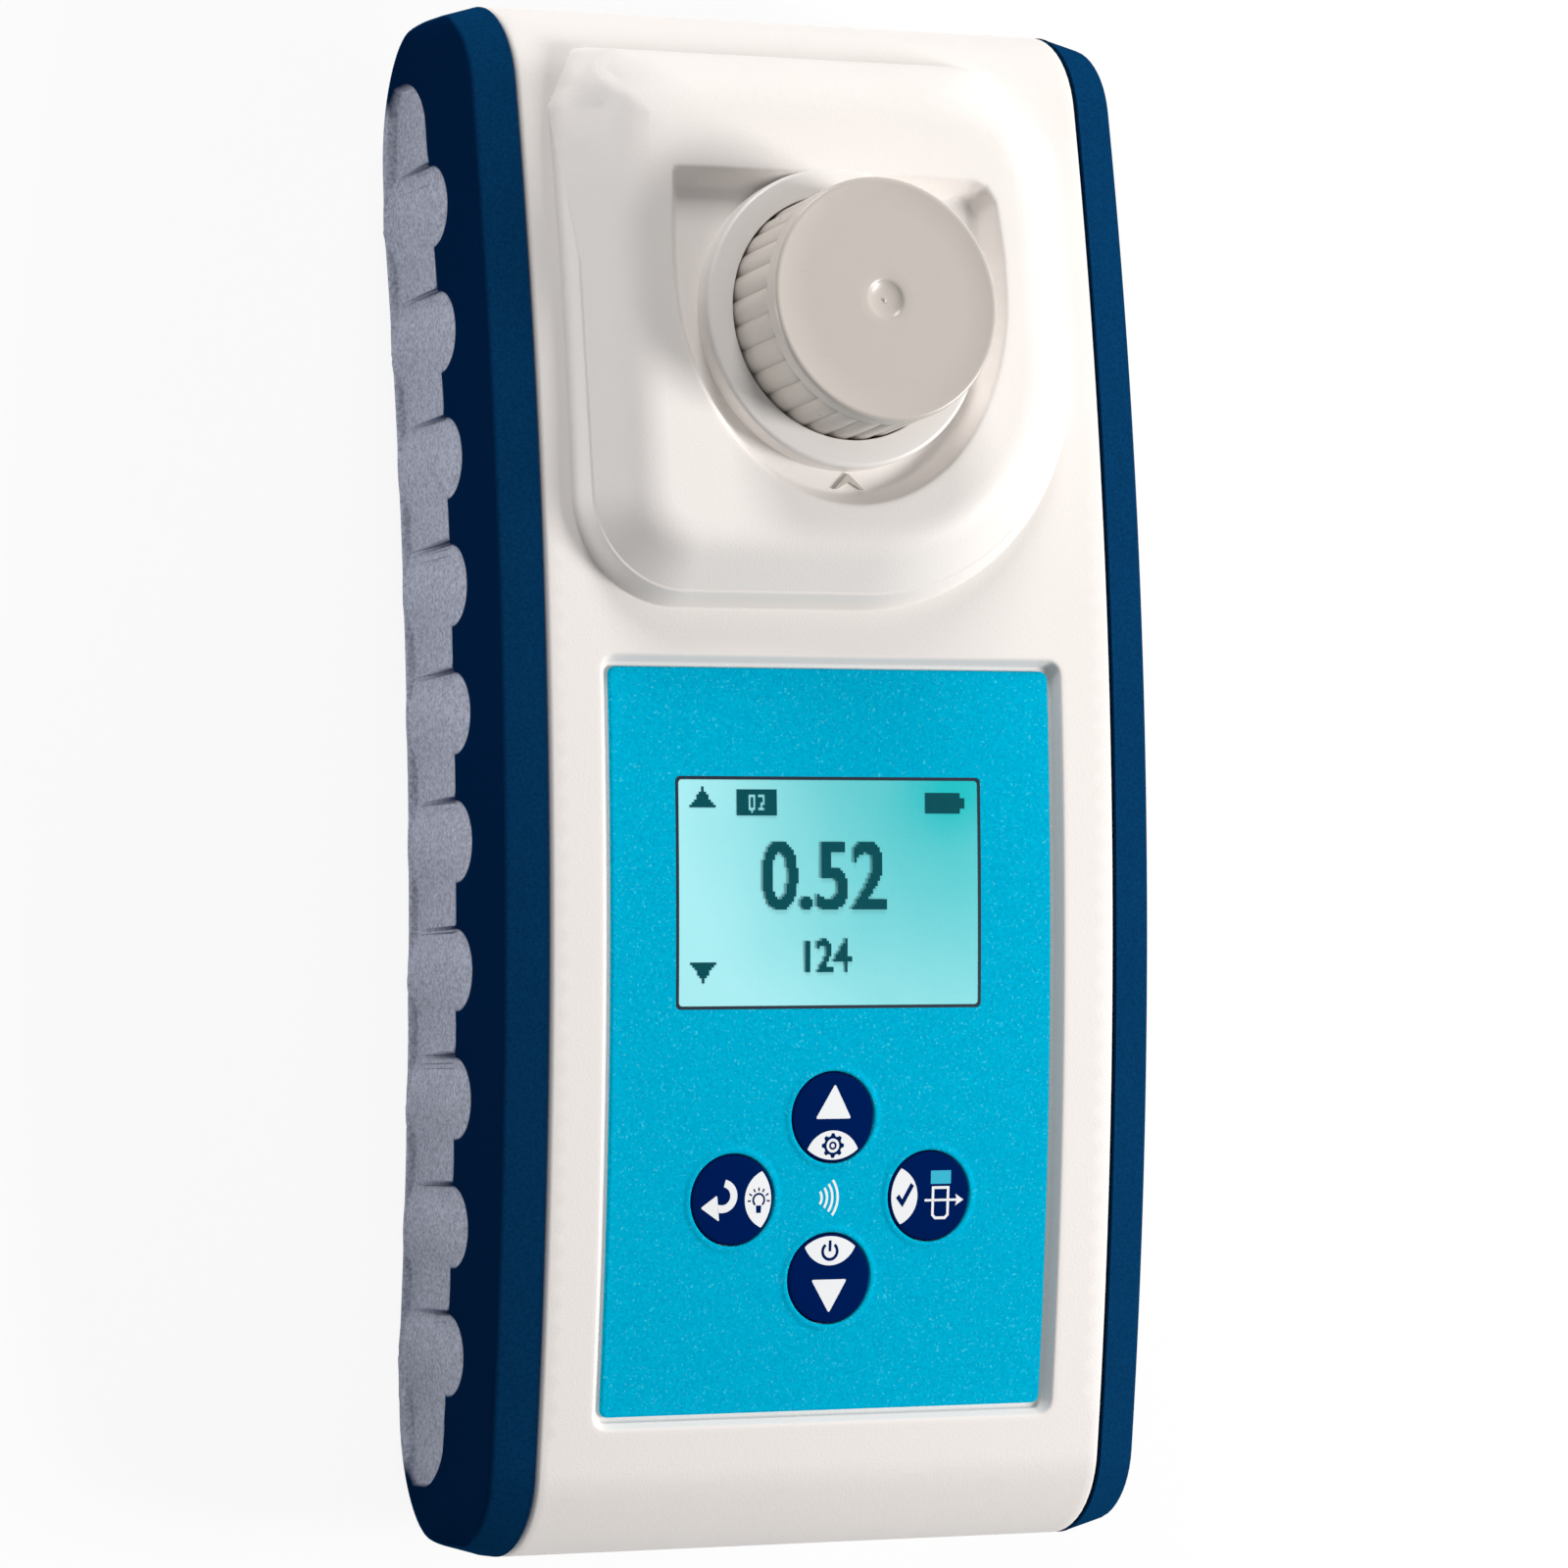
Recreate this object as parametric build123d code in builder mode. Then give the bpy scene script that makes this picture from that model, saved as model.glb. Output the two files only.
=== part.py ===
from build123d import *
import os
from math import atan2, cos, hypot, radians, sin, sqrt, tan

# Handheld photometer lying on its back.
# Millimetres. +Z comes out of the front face, +Y points to the chamber end, +X is the width.
# The origin is the middle of the outline on the surface that the instrument lies on.

os.makedirs("parts", exist_ok=True)

# Housing outline, seen from the side
body_width = 72.6
front_crest = 33.7          # top of the arched front, at mid length
front_radius = 440.0        # radius of the arched front
rear_crest = 4.1            # height of the hollow back above the surface
land_length = 20.75         # flat rest land at each end
front_corner = 10.0         # rounding of the ends towards the front
rear_corner = 15.0          # rounding of the ends towards the back
plan_corner = 7.0           # rounding of the ends seen from the front
wall = 2.2
parting_height = 13.5       # where the two shells meet

# Side panels
panel_thickness = 4.35
panel_gap = 0.30            # shadow line between a panel and the shells
panel_bevel = 1.1           # how far the front band falls towards the side
panel_edge = 0.8
grip_drop = 12.9            # from the crest of the front to the front edge of the grip
grip_depth = 0.9            # the grip's floor lies this far inside the leaning side
grip_slope = 0.12           # the side leans inwards by this much per millimetre
grip_rim = 1.0              # edge left standing along the rear
grip_end = 71.0
grip_corner = 5.0
bump_count = 10
bump_pitch = 12.8
bump_width = 7.8
bump_clear = 0.05           # the bumps stay this far inside the leaning side
bump_socket = 0.2           # the grip's edge keeps this distance round a bump's end

# Raised pod round the sample chamber, in a plane that leans with the front
pod_side = 3.05             # shoulder of the shell beside the pod
pod_length = 57.0
pod_end = 4.45              # from the pod to the +Y end
pod_gap = 5.7               # from the label to the pod
chamber_shift = 0.2         # the chamber sits this far above the middle of the pod
pod_corner = 11.0
pod_sweep = 26.0            # the corner of the pod beside the right thumb
pod_ledge = 1.9
pod_plateau = 5.6
pod_draft = 36.0
plateau_inset = 0.6
plateau_draft = 47.0
pod_root = 4.0              # how far the pod reaches into the shell

recess_radius = 18.7
recess_shoulder = 8.0
recess_head = 14.6
recess_head_width = 34.4
recess_depth = 2.2
recess_draft = 32.0
ring_notch = 0.15          # clear space round the ring where it passes the head of the recess

# Sample chamber, vial and cap, along the leaning axis of the chamber
ring_outer = 15.3
ring_inner = 12.75
ring_height = 2.4
ring_edge = 0.7
ring_inner_edge = 0.3
vial_radius = 12.0
vial_wall = 1.2
vial_fit = 0.09
vial_floor = 1.5
shoulder_rise = 0.3         # shoulder of the vial above the floor of the recess
rest_gap = 0.1
seat_gap = 0.1
chamber_neck = 13.2
neck_radius = 10.3
neck_fit = 0.1
chamber_outer = 14.0
chamber_depth = 27.4
chamber_floor = 1.5
cap_radius = 12.4
cap_rise = 11.6             # top of the cap above the floor of the recess
cap_foot = 0.7              # the cap starts this far above the floor of the recess
cap_wall = 1.6
cap_band = 3.0
cap_edge = 0.5
flute_count = 30
flute_radius = 1.3
flute_core = 11.7
dimple_radius = 2.0
dimple_depth = 0.6
liner_thickness = 0.8

# Membrane label with the display window and the four keys
label_side = 6.95           # from the side of the shell to the label
label_length = 74.8
label_end = 13.55           # from the label to the -Y end
label_depth = 1.2           # floor of the label recess below the front
label_thickness = 0.4
label_gap = 1.1
label_corner = 0.8
window_width = 33.8
window_height = 22.5
window_up = 14.7            # middle of the window above the middle of the label
window_rim = 0.7
key_radius = 4.5
key_gap = 0.15
key_spread_x = 11.05
key_spread_y = 8.1
keys_down = 15.8            # middle of the keys below the middle of the label
key_proud = 0.15
key_body = 1.8
key_stem_radius = 1.8
key_travel = 0.4
key_clear = 0.3             # left over between stem and switch when a key is pressed home

# Electronics
board_side = 3.45           # from the wall of the shell to the board
board_overhang = 12.4       # from the middle of the keys to the board's near edge
board_margin = 9.0          # from the row of chips to its far edge
board_drop = 6.62           # board below the front at the last key
board_thickness = 1.6
switch_size = 6.0
switch_height = 2.4
plunger_height = 0.6
lcd_margin = 2.2
lcd_thickness = 2.8
lcd_clear = 0.35            # between the glass and the shell at its lower edge
chips_gap = 1.65            # between the display and the row of chips
module_width = 14.0
module_length = 10.0
module_height = 2.0
module_x = -13.0
processor_size = 9.0
processor_height = 1.2
processor_x = 1.0
buzzer_radius = 5.0
buzzer_height = 3.2
buzzer_x = 14.0
optics_drop = 14.0          # beam of light below the floor of the recess
lamp_radius = 2.5
lamp_length = 6.0
lamp_tube = 3.6
lamp_tube_reach = 19.5
filter_radius = 4.0
filter_thickness = 2.0
detector_tube = 5.2
detector_tube_reach = 18.0
side_board_width = 15.0
side_board_height = 12.0
side_board_thickness = 1.2
detector_size = 5.0
detector_height = 1.5

# Batteries
cell_radius = 5.25
cell_length = 44.5
cell_count = 4
cell_pitch = 10.8
bay_shift = 4.7             # middle of the cells below the middle of the label
bay_wall = 1.2
bay_slack = 1.6             # room for the contact at each end of the cells
cell_height = 11.6          # axis of the cells above the surface
cover_gap = 0.3
cover_tab = 9.5
cover_thickness = 1.4
cover_pad = 3.0             # thickness of the cover round its screw
cover_pad_radius = 3.2
cover_screw_shift = 0.3
cover_boss_height = 8.0
cover_head_sink = 0.2
lip_width = 2.0
lip_thickness = 1.5
seal_width = 1.0
seal_height = 0.8
contact_size = 8.0
contact_thickness = 0.4
spring_radius = 2.6
spring_taper = 30.0
terminal_height = 0.8       # positive end of a cell
holder_roof = 1.2
cell_play = 0.3

# Fasteners
screw_radius = 1.25
screw_head_radius = 2.4
screw_head_height = 1.6
boss_radius = 3.2
boss_skirt = 1.0            # extra wall round the sunk heads
screw_side = 6.05           # from the side of the shell to the screws
screw_beyond = 16.0         # screws past the middle of the chamber
screw_wall = 0.25           # between the battery bay and the bosses near it
screw_clear = 0.15
screw_length = 16.0
screw_tip = 1.0             # the cover screw ends this far below its boss
head_sink = 2.4             # the heads sit this deep in the rest lands
boss_root = 0.5             # how far bosses and posts run into the wall
post_radius = 2.4
post_hole = 0.8
post_inset = 3.0            # posts from the long and the short edges of the board
post_end = 4.0
board_screw_head = 1.0
board_screw_bite = 2.5

# Sizes that follow
body_length = label_end + label_length + pod_gap + pod_length + pod_end
half_length = body_length / 2
half_width = body_width / 2
shell_half = half_width - panel_thickness - panel_gap
panel_inner = half_width - panel_thickness
land_start = half_length - land_length
chamber_y = half_length - pod_end - pod_length / 2 + chamber_shift
pod_middle = -chamber_shift
pod_width = 2 * (shell_half - pod_side)
label_width = 2 * (shell_half - label_side)
label_y = label_end + label_length / 2 - half_length
window_y = label_y + window_up
keys_y = label_y - keys_down
board_width = 2 * (shell_half - wall - board_side)
board_start = keys_y - board_overhang
chips_y = window_y + window_height / 2 + lcd_margin + chips_gap + module_length / 2
board_end = chips_y + module_length / 2 + board_margin
bay_y = label_y - bay_shift
screw_x = shell_half - screw_side
post_x = board_width / 2 - post_inset
lean = atan2(chamber_y, sqrt(front_radius ** 2 - chamber_y ** 2))


def front_height(y, depth=0.0):
    return front_crest - front_radius + sqrt((front_radius - depth) ** 2 - y ** 2)


front_plane = Plane(
    origin=(0, chamber_y, front_height(chamber_y)), x_dir=(1, 0, 0), z_dir=(0, sin(lean), cos(lean))
)
chamber_plane = front_plane.offset(pod_plateau - recess_depth)


# Outline of the housing seen from the side, with its straight or hollow edges drawn in
def side_face(inset=0.0, at=0.0):
    end_front = front_height(half_length)
    with BuildSketch(Plane.YZ.offset(at)) as outline:
        with BuildLine():
            ThreePointArc((-half_length, end_front), (0, front_crest), (half_length, end_front))
            Polyline((half_length, end_front), (half_length, 0), (land_start, 0))
            ThreePointArc((land_start, 0), (0, rear_crest), (-land_start, 0))
            Polyline((-land_start, 0), (-half_length, 0), (-half_length, end_front))
        make_face()
        ends = outline.vertices().filter_by(lambda v: abs(v.X) > half_length - 0.01)
        fillet(ends.filter_by(lambda v: v.Y > parting_height), front_corner)
        ends = outline.vertices().filter_by(lambda v: abs(v.X) > half_length - 0.01)
        fillet(ends.filter_by(lambda v: v.Y < 0.01), rear_corner)
        if inset:
            offset(amount=-inset, kind=Kind.INTERSECTION, mode=Mode.REPLACE)
    return outline.sketch


# Strip that follows the arched front between two depths, seen from the side
def front_strip(y_low, y_high, upper, lower):
    middle = (y_low + y_high) / 2
    with BuildSketch(Plane.YZ) as strip:
        with BuildLine():
            ThreePointArc(
                (y_low, front_height(y_low, upper)),
                (middle, front_height(middle, upper)),
                (y_high, front_height(y_high, upper)),
            )
            Line((y_high, front_height(y_high, upper)), (y_high, front_height(y_high, lower)))
            ThreePointArc(
                (y_high, front_height(y_high, lower)),
                (middle, front_height(middle, lower)),
                (y_low, front_height(y_low, lower)),
            )
            Line((y_low, front_height(y_low, lower)), (y_low, front_height(y_low, upper)))
        make_face()
    return strip.sketch


def save(part, name):
    part.label = name
    export_step(part, "parts/" + name + ".step")


key_places = {
    "key_up": (0, keys_y + key_spread_y),
    "key_left": (-key_spread_x, keys_y),
    "key_right": (key_spread_x, keys_y),
    "key_down": (0, keys_y - key_spread_y),
}
board_bottom = front_height(abs(keys_y) + key_spread_y + key_radius) - board_drop
board_top = board_bottom + board_thickness
lcd_top = front_height(abs(window_y) + window_height / 2 + lcd_margin, wall) - lcd_clear
post_places = [(x, y) for x in (-post_x, post_x) for y in (board_start + post_end, board_end - post_end)]

# Battery bay sizes
bay_half_x = (cell_count - 1) / 2 * cell_pitch + cell_radius + cell_play
bay_half_y = cell_length / 2 + bay_slack
cover_half_x = bay_half_x + bay_wall
cover_low = bay_y - bay_half_y - bay_wall
cover_high = bay_y + bay_half_y + bay_wall + cover_tab
screw_ends = (cover_low - screw_wall - boss_radius - boss_skirt, chamber_y + screw_beyond)
screw_places = [(x, y) for x in (-screw_x, screw_x) for y in screw_ends]
cover_screw_y = cover_high - cover_tab / 2 - cover_screw_shift
rear_radius = (land_start ** 2 + rear_crest ** 2) / (2 * rear_crest)


def rear_height(y, depth=0.0):
    return rear_crest - rear_radius + sqrt((rear_radius + depth) ** 2 - y ** 2)


cover_head_top = rear_height(cover_screw_y) + cover_head_sink + screw_head_height
cover_boss_low = rear_height(cover_screw_y, cover_pad) + cover_gap

outer_side = side_face()
inner_side = side_face(wall)



def pod_shape(inset):
    """Outline of the pod round the chamber's middle, moved inwards: one corner is a wide sweep."""
    with BuildSketch() as outline:
        with Locations((0, pod_middle)):
            Rectangle(pod_width - 2 * inset, pod_length - 2 * inset)
        fillet(outline.vertices().filter_by(lambda v: v.X > 0 and v.Y < 0), pod_sweep - inset)
        square_corners = outline.vertices().filter_by(lambda v: abs(v.X) > pod_width / 4 and (v.X < 0 or v.Y > 0))
        fillet(square_corners, pod_corner - inset)
    return outline.sketch


plateau_in = pod_ledge * tan(radians(pod_draft)) + plateau_inset
pod_base, plateau_base = pod_shape(0), pod_shape(plateau_in)

# Front shell: arched front, ends and the raised pod
with BuildPart() as front_shell:
    extrude(outer_side, amount=shell_half, both=True)
    with BuildSketch(front_plane) as pod_outline:
        add(pod_base)
    extrude(amount=-pod_root)
    extrude(pod_outline.sketch, amount=pod_ledge, taper=pod_draft)
    with BuildSketch(front_plane.offset(pod_ledge)):
        add(plateau_base)
    extrude(amount=pod_plateau - pod_ledge, taper=plateau_draft)
    split(bisect_by=Plane.XY.offset(parting_height), keep=Keep.TOP)
    extrude(inner_side, amount=shell_half - wall, both=True, mode=Mode.SUBTRACT)
    # shield-shaped recess round the chamber
    with BuildSketch(front_plane.offset(pod_plateau)):
        with BuildLine():
            Line((-recess_head_width / 2, recess_head), (recess_head_width / 2, recess_head))
            Line((recess_head_width / 2, recess_head), (recess_radius, recess_shoulder))
            Line((recess_radius, recess_shoulder), (recess_radius, 0))
            ThreePointArc((recess_radius, 0), (0, -recess_radius), (-recess_radius, 0))
            Line((-recess_radius, 0), (-recess_radius, recess_shoulder))
            Line((-recess_radius, recess_shoulder), (-recess_head_width / 2, recess_head))
        make_face()
    extrude(amount=-recess_depth, taper=recess_draft, mode=Mode.SUBTRACT)
    with BuildSketch(chamber_plane):
        Circle(ring_outer + ring_notch)
    extrude(amount=recess_depth, mode=Mode.SUBTRACT)
    with BuildSketch(chamber_plane):
        Circle(chamber_neck + seat_gap)
    extrude(amount=-chamber_depth / 2, mode=Mode.SUBTRACT)
    # recess of the label with its openings
    recess_half = label_length / 2 + label_gap
    extrude(
        front_strip(label_y - recess_half, label_y + recess_half, -wall, label_depth),
        amount=label_width / 2 + label_gap,
        both=True,
        mode=Mode.SUBTRACT,
    )
    with BuildSketch(Plane.XY.offset(board_bottom)):
        with Locations((0, window_y)):
            Rectangle(window_width - 2 * window_rim, window_height - 2 * window_rim)
        with Locations(*key_places.values()):
            Circle(key_radius + key_gap)
    extrude(amount=front_crest - board_bottom, mode=Mode.SUBTRACT)
    # bosses for the housing screws and posts for the board
    with BuildSketch(Plane.XY.offset(parting_height)):
        with Locations(*screw_places):
            Circle(boss_radius)
            Circle(screw_radius, mode=Mode.SUBTRACT)
    extrude(amount=front_height(max(screw_ends), wall) + boss_root - parting_height)
    for x, y in post_places:
        with BuildSketch(Plane.XY.offset(board_top)):
            with Locations((x, y)):
                Circle(post_radius)
                Circle(post_hole, mode=Mode.SUBTRACT)
        extrude(amount=front_height(y, wall) + boss_root - board_top)
save(front_shell.part, "front_shell")

# Back shell: hollow back with the rest lands, opening of the battery bay and screw bosses
with BuildPart() as back_shell:
    extrude(outer_side, amount=shell_half, both=True)
    split(bisect_by=Plane.XY.offset(parting_height), keep=Keep.BOTTOM)
    extrude(inner_side, amount=shell_half - wall, both=True, mode=Mode.SUBTRACT)
    # lip round the battery opening
    with BuildPart(mode=Mode.PRIVATE) as lip:
        extrude(inner_side, amount=shell_half - wall, both=True)
        extrude(side_face(wall + lip_thickness), amount=shell_half, both=True, mode=Mode.SUBTRACT)
        with BuildSketch(Plane.XY):
            with Locations((0, (cover_low + cover_high) / 2)):
                Rectangle(2 * cover_half_x + 2 * lip_width, cover_high - cover_low + 2 * lip_width)
                Rectangle(
                    2 * cover_half_x - 2 * lip_width, cover_high - cover_low - 2 * lip_width, mode=Mode.SUBTRACT
                )
        extrude(amount=parting_height, mode=Mode.INTERSECT)
    with BuildSketch(Plane.XY):
        with Locations((0, (cover_low + cover_high) / 2)):
            Rectangle(2 * cover_half_x, cover_high - cover_low)
    extrude(amount=parting_height, mode=Mode.SUBTRACT)
    add(lip.part)
    # bosses of the housing screws, counterbored from the rest lands
    with BuildSketch(Plane.XY.offset(wall / 2)):
        with Locations(*screw_places):
            Circle(boss_radius + boss_skirt)
    extrude(amount=parting_height - wall / 2)
    with Locations(Plane.XY):
        with Locations(*screw_places):
            Cylinder(screw_radius + screw_clear, 4 * parting_height, mode=Mode.SUBTRACT)
    with BuildSketch(Plane.XY):
        with Locations(*screw_places):
            Circle(screw_head_radius + screw_clear)
    extrude(amount=head_sink + screw_head_height, mode=Mode.SUBTRACT)
    # boss of the cover screw on a bridge from the lip
    with BuildSketch(Plane.XY):
        with Locations((0, cover_screw_y)):
            Circle(cover_pad_radius + cover_gap)
    extrude(amount=cover_boss_low, mode=Mode.SUBTRACT)
    with BuildSketch(Plane.XY.offset(cover_boss_low)):
        with Locations((0, (cover_screw_y - boss_radius + cover_high + lip_width) / 2)):
            Rectangle(4 * boss_radius, cover_high + lip_width - cover_screw_y + boss_radius)
    extrude(amount=lip_thickness)
    with BuildSketch(Plane.XY.offset(cover_boss_low)):
        with Locations((0, cover_screw_y)):
            Circle(boss_radius)
    extrude(amount=cover_boss_height)
    with BuildSketch(Plane.XY):
        with Locations((0, cover_screw_y)):
            Circle(screw_radius + seat_gap)
    extrude(amount=cover_boss_low + cover_boss_height + cover_gap, mode=Mode.SUBTRACT)
    # groove for the seal between the shells
    with BuildSketch(Plane.XY.offset(parting_height)):
        Rectangle(2 * shell_half - wall + seal_width, body_length - wall + seal_width)
        Rectangle(2 * shell_half - wall - seal_width, body_length - wall - seal_width, mode=Mode.SUBTRACT)
    extrude(amount=-seal_height, mode=Mode.SUBTRACT)
save(back_shell.part, "back_shell")

with BuildPart() as shell_seal:
    with BuildSketch(Plane.XY.offset(parting_height)):
        Rectangle(2 * shell_half - wall + seal_width, body_length - wall + seal_width)
        Rectangle(2 * shell_half - wall - seal_width, body_length - wall - seal_width, mode=Mode.SUBTRACT)
    extrude(amount=-seal_height)
save(shell_seal.part, "shell_seal")

# Side panel: bevelled front band, leaning grip and a row of finger bumps
grip_crest = front_crest - grip_drop
grip_up = (grip_slope / hypot(1, grip_slope), 0, 1 / hypot(1, grip_slope))
grip_out = (1 / hypot(1, grip_slope), 0, -grip_slope / hypot(1, grip_slope))
bump_height = grip_depth - bump_clear
bump_radius = (bump_width ** 2 / 4 + bump_height ** 2) / (2 * bump_height)
bump_places = [(index - (bump_count - 1) / 2) * bump_pitch for index in range(bump_count)]


def lean_x(z, depth=0):
    return half_width - depth - (grip_crest - z) * grip_slope


def beyond_lean(depth, top):
    """Everything outside the leaning side, moved inwards by a depth, up to a height."""
    with BuildSketch(Plane.XZ) as outside:
        Polygon(
            (lean_x(top, depth), top),
            (lean_x(-grip_corner, depth), -grip_corner),
            (half_width + panel_thickness, -grip_corner),
            (half_width + panel_thickness, top),
            align=None,
        )
    return extrude(outside.sketch, amount=body_length, both=True)


beyond_side, beyond_floor = beyond_lean(0, grip_crest), beyond_lean(grip_depth, front_crest)

with BuildPart() as panel_blank:
    loft([side_face(0, panel_inner).face(), side_face(panel_bevel, half_width).face()], ruled=True)
    with BuildSketch(Plane.XY):
        RectangleRounded(body_width, body_length, plan_corner)
    extrude(amount=front_crest, mode=Mode.INTERSECT)
    fillet(panel_blank.faces().sort_by(Axis.X)[-1].edges(), panel_edge)
    add(beyond_side, mode=Mode.SUBTRACT)

with BuildPart() as grip_pocket:
    with BuildSketch(Plane.YZ.offset(panel_inner)) as pocket:
        crease_end = front_height(grip_end, grip_drop)
        rear_run = grip_end - half_length + rear_corner
        rim_end = grip_rim + rear_corner - sqrt(rear_corner ** 2 - rear_run ** 2)
        with BuildLine():
            ThreePointArc((-grip_end, crease_end), (0, grip_crest), (grip_end, crease_end))
            Polyline((grip_end, crease_end), (grip_end, rim_end), (land_start, grip_rim))
            ThreePointArc((land_start, grip_rim), (0, rear_crest + grip_rim), (-land_start, grip_rim))
            Polyline((-land_start, grip_rim), (-grip_end, rim_end), (-grip_end, crease_end))
        make_face()
        fillet(pocket.vertices().filter_by(lambda v: abs(v.X) > land_start + grip_rim), grip_corner)
        with Locations([(bump_y, front_height(bump_y, grip_drop)) for bump_y in bump_places]):
            Circle(bump_width / 2 + bump_socket)
    extrude(amount=2 * panel_thickness)
    add(beyond_floor, mode=Mode.INTERSECT)

with BuildPart() as finger_bumps:
    for bump_y in bump_places:
        bump_z = front_height(bump_y, grip_drop)
        floor_point = Vector(lean_x(bump_z, grip_depth), bump_y, bump_z)
        with BuildSketch(Plane(origin=floor_point, x_dir=(0, 1, 0), z_dir=grip_up)) as bump_section:
            with Locations((0, bump_radius - bump_height)):
                Circle(bump_radius)
            Rectangle(bump_pitch, 2 * bump_height, mode=Mode.INTERSECT)
        extrude(amount=-front_crest)
        with BuildSketch(Plane(origin=floor_point, x_dir=(0, 1, 0), z_dir=grip_up)) as half_section:
            add(bump_section.sketch_local)
            Rectangle(bump_pitch, bump_pitch, align=(Align.MIN, Align.CENTER), mode=Mode.INTERSECT)
        revolve(axis=Axis(floor_point, grip_out))
    add(panel_blank.part, mode=Mode.INTERSECT)

with BuildPart() as right_grip:
    add(panel_blank.part)
    add(grip_pocket.part, mode=Mode.SUBTRACT)
    add(finger_bumps.part)
save(right_grip.part, "right_grip")

with BuildPart() as left_grip:
    mirror(right_grip.part, about=Plane.YZ)
save(left_grip.part, "left_grip")

# Battery cover, its seal and its screw
with BuildPart() as battery_cover:
    extrude(outer_side, amount=cover_half_x - cover_gap, both=True)
    extrude(side_face(cover_thickness), amount=shell_half, both=True, mode=Mode.SUBTRACT)
    with BuildSketch(Plane.XY):
        with Locations((0, (cover_low + cover_high) / 2)):
            Rectangle(2 * (cover_half_x - cover_gap), cover_high - cover_low - 2 * cover_gap)
    extrude(amount=parting_height, mode=Mode.INTERSECT)
    with BuildSketch(Plane.XY.offset(rear_height(cover_screw_y) + cover_thickness / 2)):
        with Locations((0, cover_screw_y)):
            Circle(cover_pad_radius)
    extrude(amount=cover_pad - cover_thickness / 2)
    with BuildSketch(Plane.XY):
        with Locations((0, cover_screw_y)):
            Circle(screw_radius + screw_clear)
    extrude(amount=parting_height, mode=Mode.SUBTRACT)
    with BuildSketch(Plane.XY):
        with Locations((0, cover_screw_y)):
            Circle(screw_head_radius + screw_clear)
    extrude(amount=cover_head_top, mode=Mode.SUBTRACT)
save(battery_cover.part, "battery_cover")

with BuildPart() as cover_seal:
    extrude(side_face(cover_thickness + rest_gap), amount=shell_half, both=True)
    extrude(inner_side, amount=shell_half, both=True, mode=Mode.SUBTRACT)
    with BuildSketch(Plane.XY):
        with Locations((0, (cover_low + cover_high) / 2)):
            Rectangle(2 * (cover_half_x - cover_gap), cover_high - cover_low - 2 * cover_gap)
            Rectangle(
                2 * (cover_half_x - cover_gap - seal_width),
                cover_high - cover_low - 2 * (cover_gap + seal_width),
                mode=Mode.SUBTRACT,
            )
    extrude(amount=parting_height, mode=Mode.INTERSECT)
save(cover_seal.part, "cover_seal")

with BuildPart() as cover_screw:
    with BuildSketch(Plane.XY.offset(cover_head_top - screw_head_height)):
        with Locations((0, cover_screw_y)):
            Circle(screw_head_radius)
    extrude(amount=screw_head_height)
    with BuildSketch(Plane.XY.offset(cover_head_top)):
        with Locations((0, cover_screw_y)):
            Circle(screw_radius)
    extrude(amount=cover_boss_low - cover_head_top + cover_boss_height - screw_tip)
save(cover_screw.part, "cover_screw")

with BuildPart() as housing_screws:
    with BuildSketch(Plane.XY.offset(head_sink)):
        with Locations(*screw_places):
            Circle(screw_head_radius)
    extrude(amount=screw_head_height)
    with BuildSketch(Plane.XY.offset(head_sink)):
        with Locations(*screw_places):
            Circle(screw_radius)
    extrude(amount=screw_length)
save(housing_screws.part, "housing_screws")

# Membrane label, display window and keys
with BuildPart() as keypad_label:
    extrude(
        front_strip(
            label_y - label_length / 2, label_y + label_length / 2, label_depth - label_thickness, label_depth
        ),
        amount=label_width / 2,
        both=True,
    )
    with BuildSketch(Plane.XY.offset(board_bottom)):
        with Locations((0, window_y)):
            Rectangle(window_width, window_height)
        with Locations(*key_places.values()):
            Circle(key_radius + key_gap)
    extrude(amount=front_crest - board_bottom, mode=Mode.SUBTRACT)
    corners = keypad_label.edges().filter_by(Axis.Z).filter_by(lambda e: abs(e.center().X) > label_width / 2 - 0.1)
    fillet(corners, label_corner)
save(keypad_label.part, "keypad_label")

with BuildPart() as display_window:
    extrude(
        front_strip(
            window_y - window_height / 2, window_y + window_height / 2, label_depth - label_thickness, label_depth
        ),
        amount=window_width / 2,
        both=True,
    )
save(display_window.part, "display_window")

for key_name, (key_x, key_y) in key_places.items():
    with BuildPart() as key:
        with BuildSketch(Plane.XY.offset(board_top)):
            with Locations((key_x, key_y)):
                Circle(key_radius)
        extrude(amount=front_crest)
        key_top = label_depth - label_thickness - key_proud
        extrude(
            front_strip(key_y - 2 * key_radius, key_y + 2 * key_radius, key_top, key_top + key_body),
            amount=half_width,
            both=True,
            mode=Mode.INTERSECT,
        )
        stem_low = board_top + switch_height + key_travel + key_clear
        with BuildSketch(Plane.XY.offset(stem_low)):
            with Locations((key_x, key_y)):
                Circle(key_stem_radius)
        extrude(amount=front_height(key_y, key_top + key_body / 2) - stem_low)
    save(key.part, key_name)

# Electronics
with BuildPart() as main_board:
    with BuildSketch(Plane.XY.offset(board_bottom)):
        with Locations((0, (board_start + board_end) / 2)):
            Rectangle(board_width, board_end - board_start)
        with Locations(*post_places):
            Circle(post_hole + seat_gap, mode=Mode.SUBTRACT)
    extrude(amount=board_thickness)
save(main_board.part, "main_board")

with BuildPart() as board_screws:
    with BuildSketch(Plane.XY.offset(board_bottom)):
        with Locations(*post_places):
            Circle(2 * post_hole)
    extrude(amount=-board_screw_head)
    with BuildSketch(Plane.XY.offset(board_bottom)):
        with Locations(*post_places):
            Circle(post_hole)
    extrude(amount=board_thickness + board_screw_bite)
save(board_screws.part, "board_screws")

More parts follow.
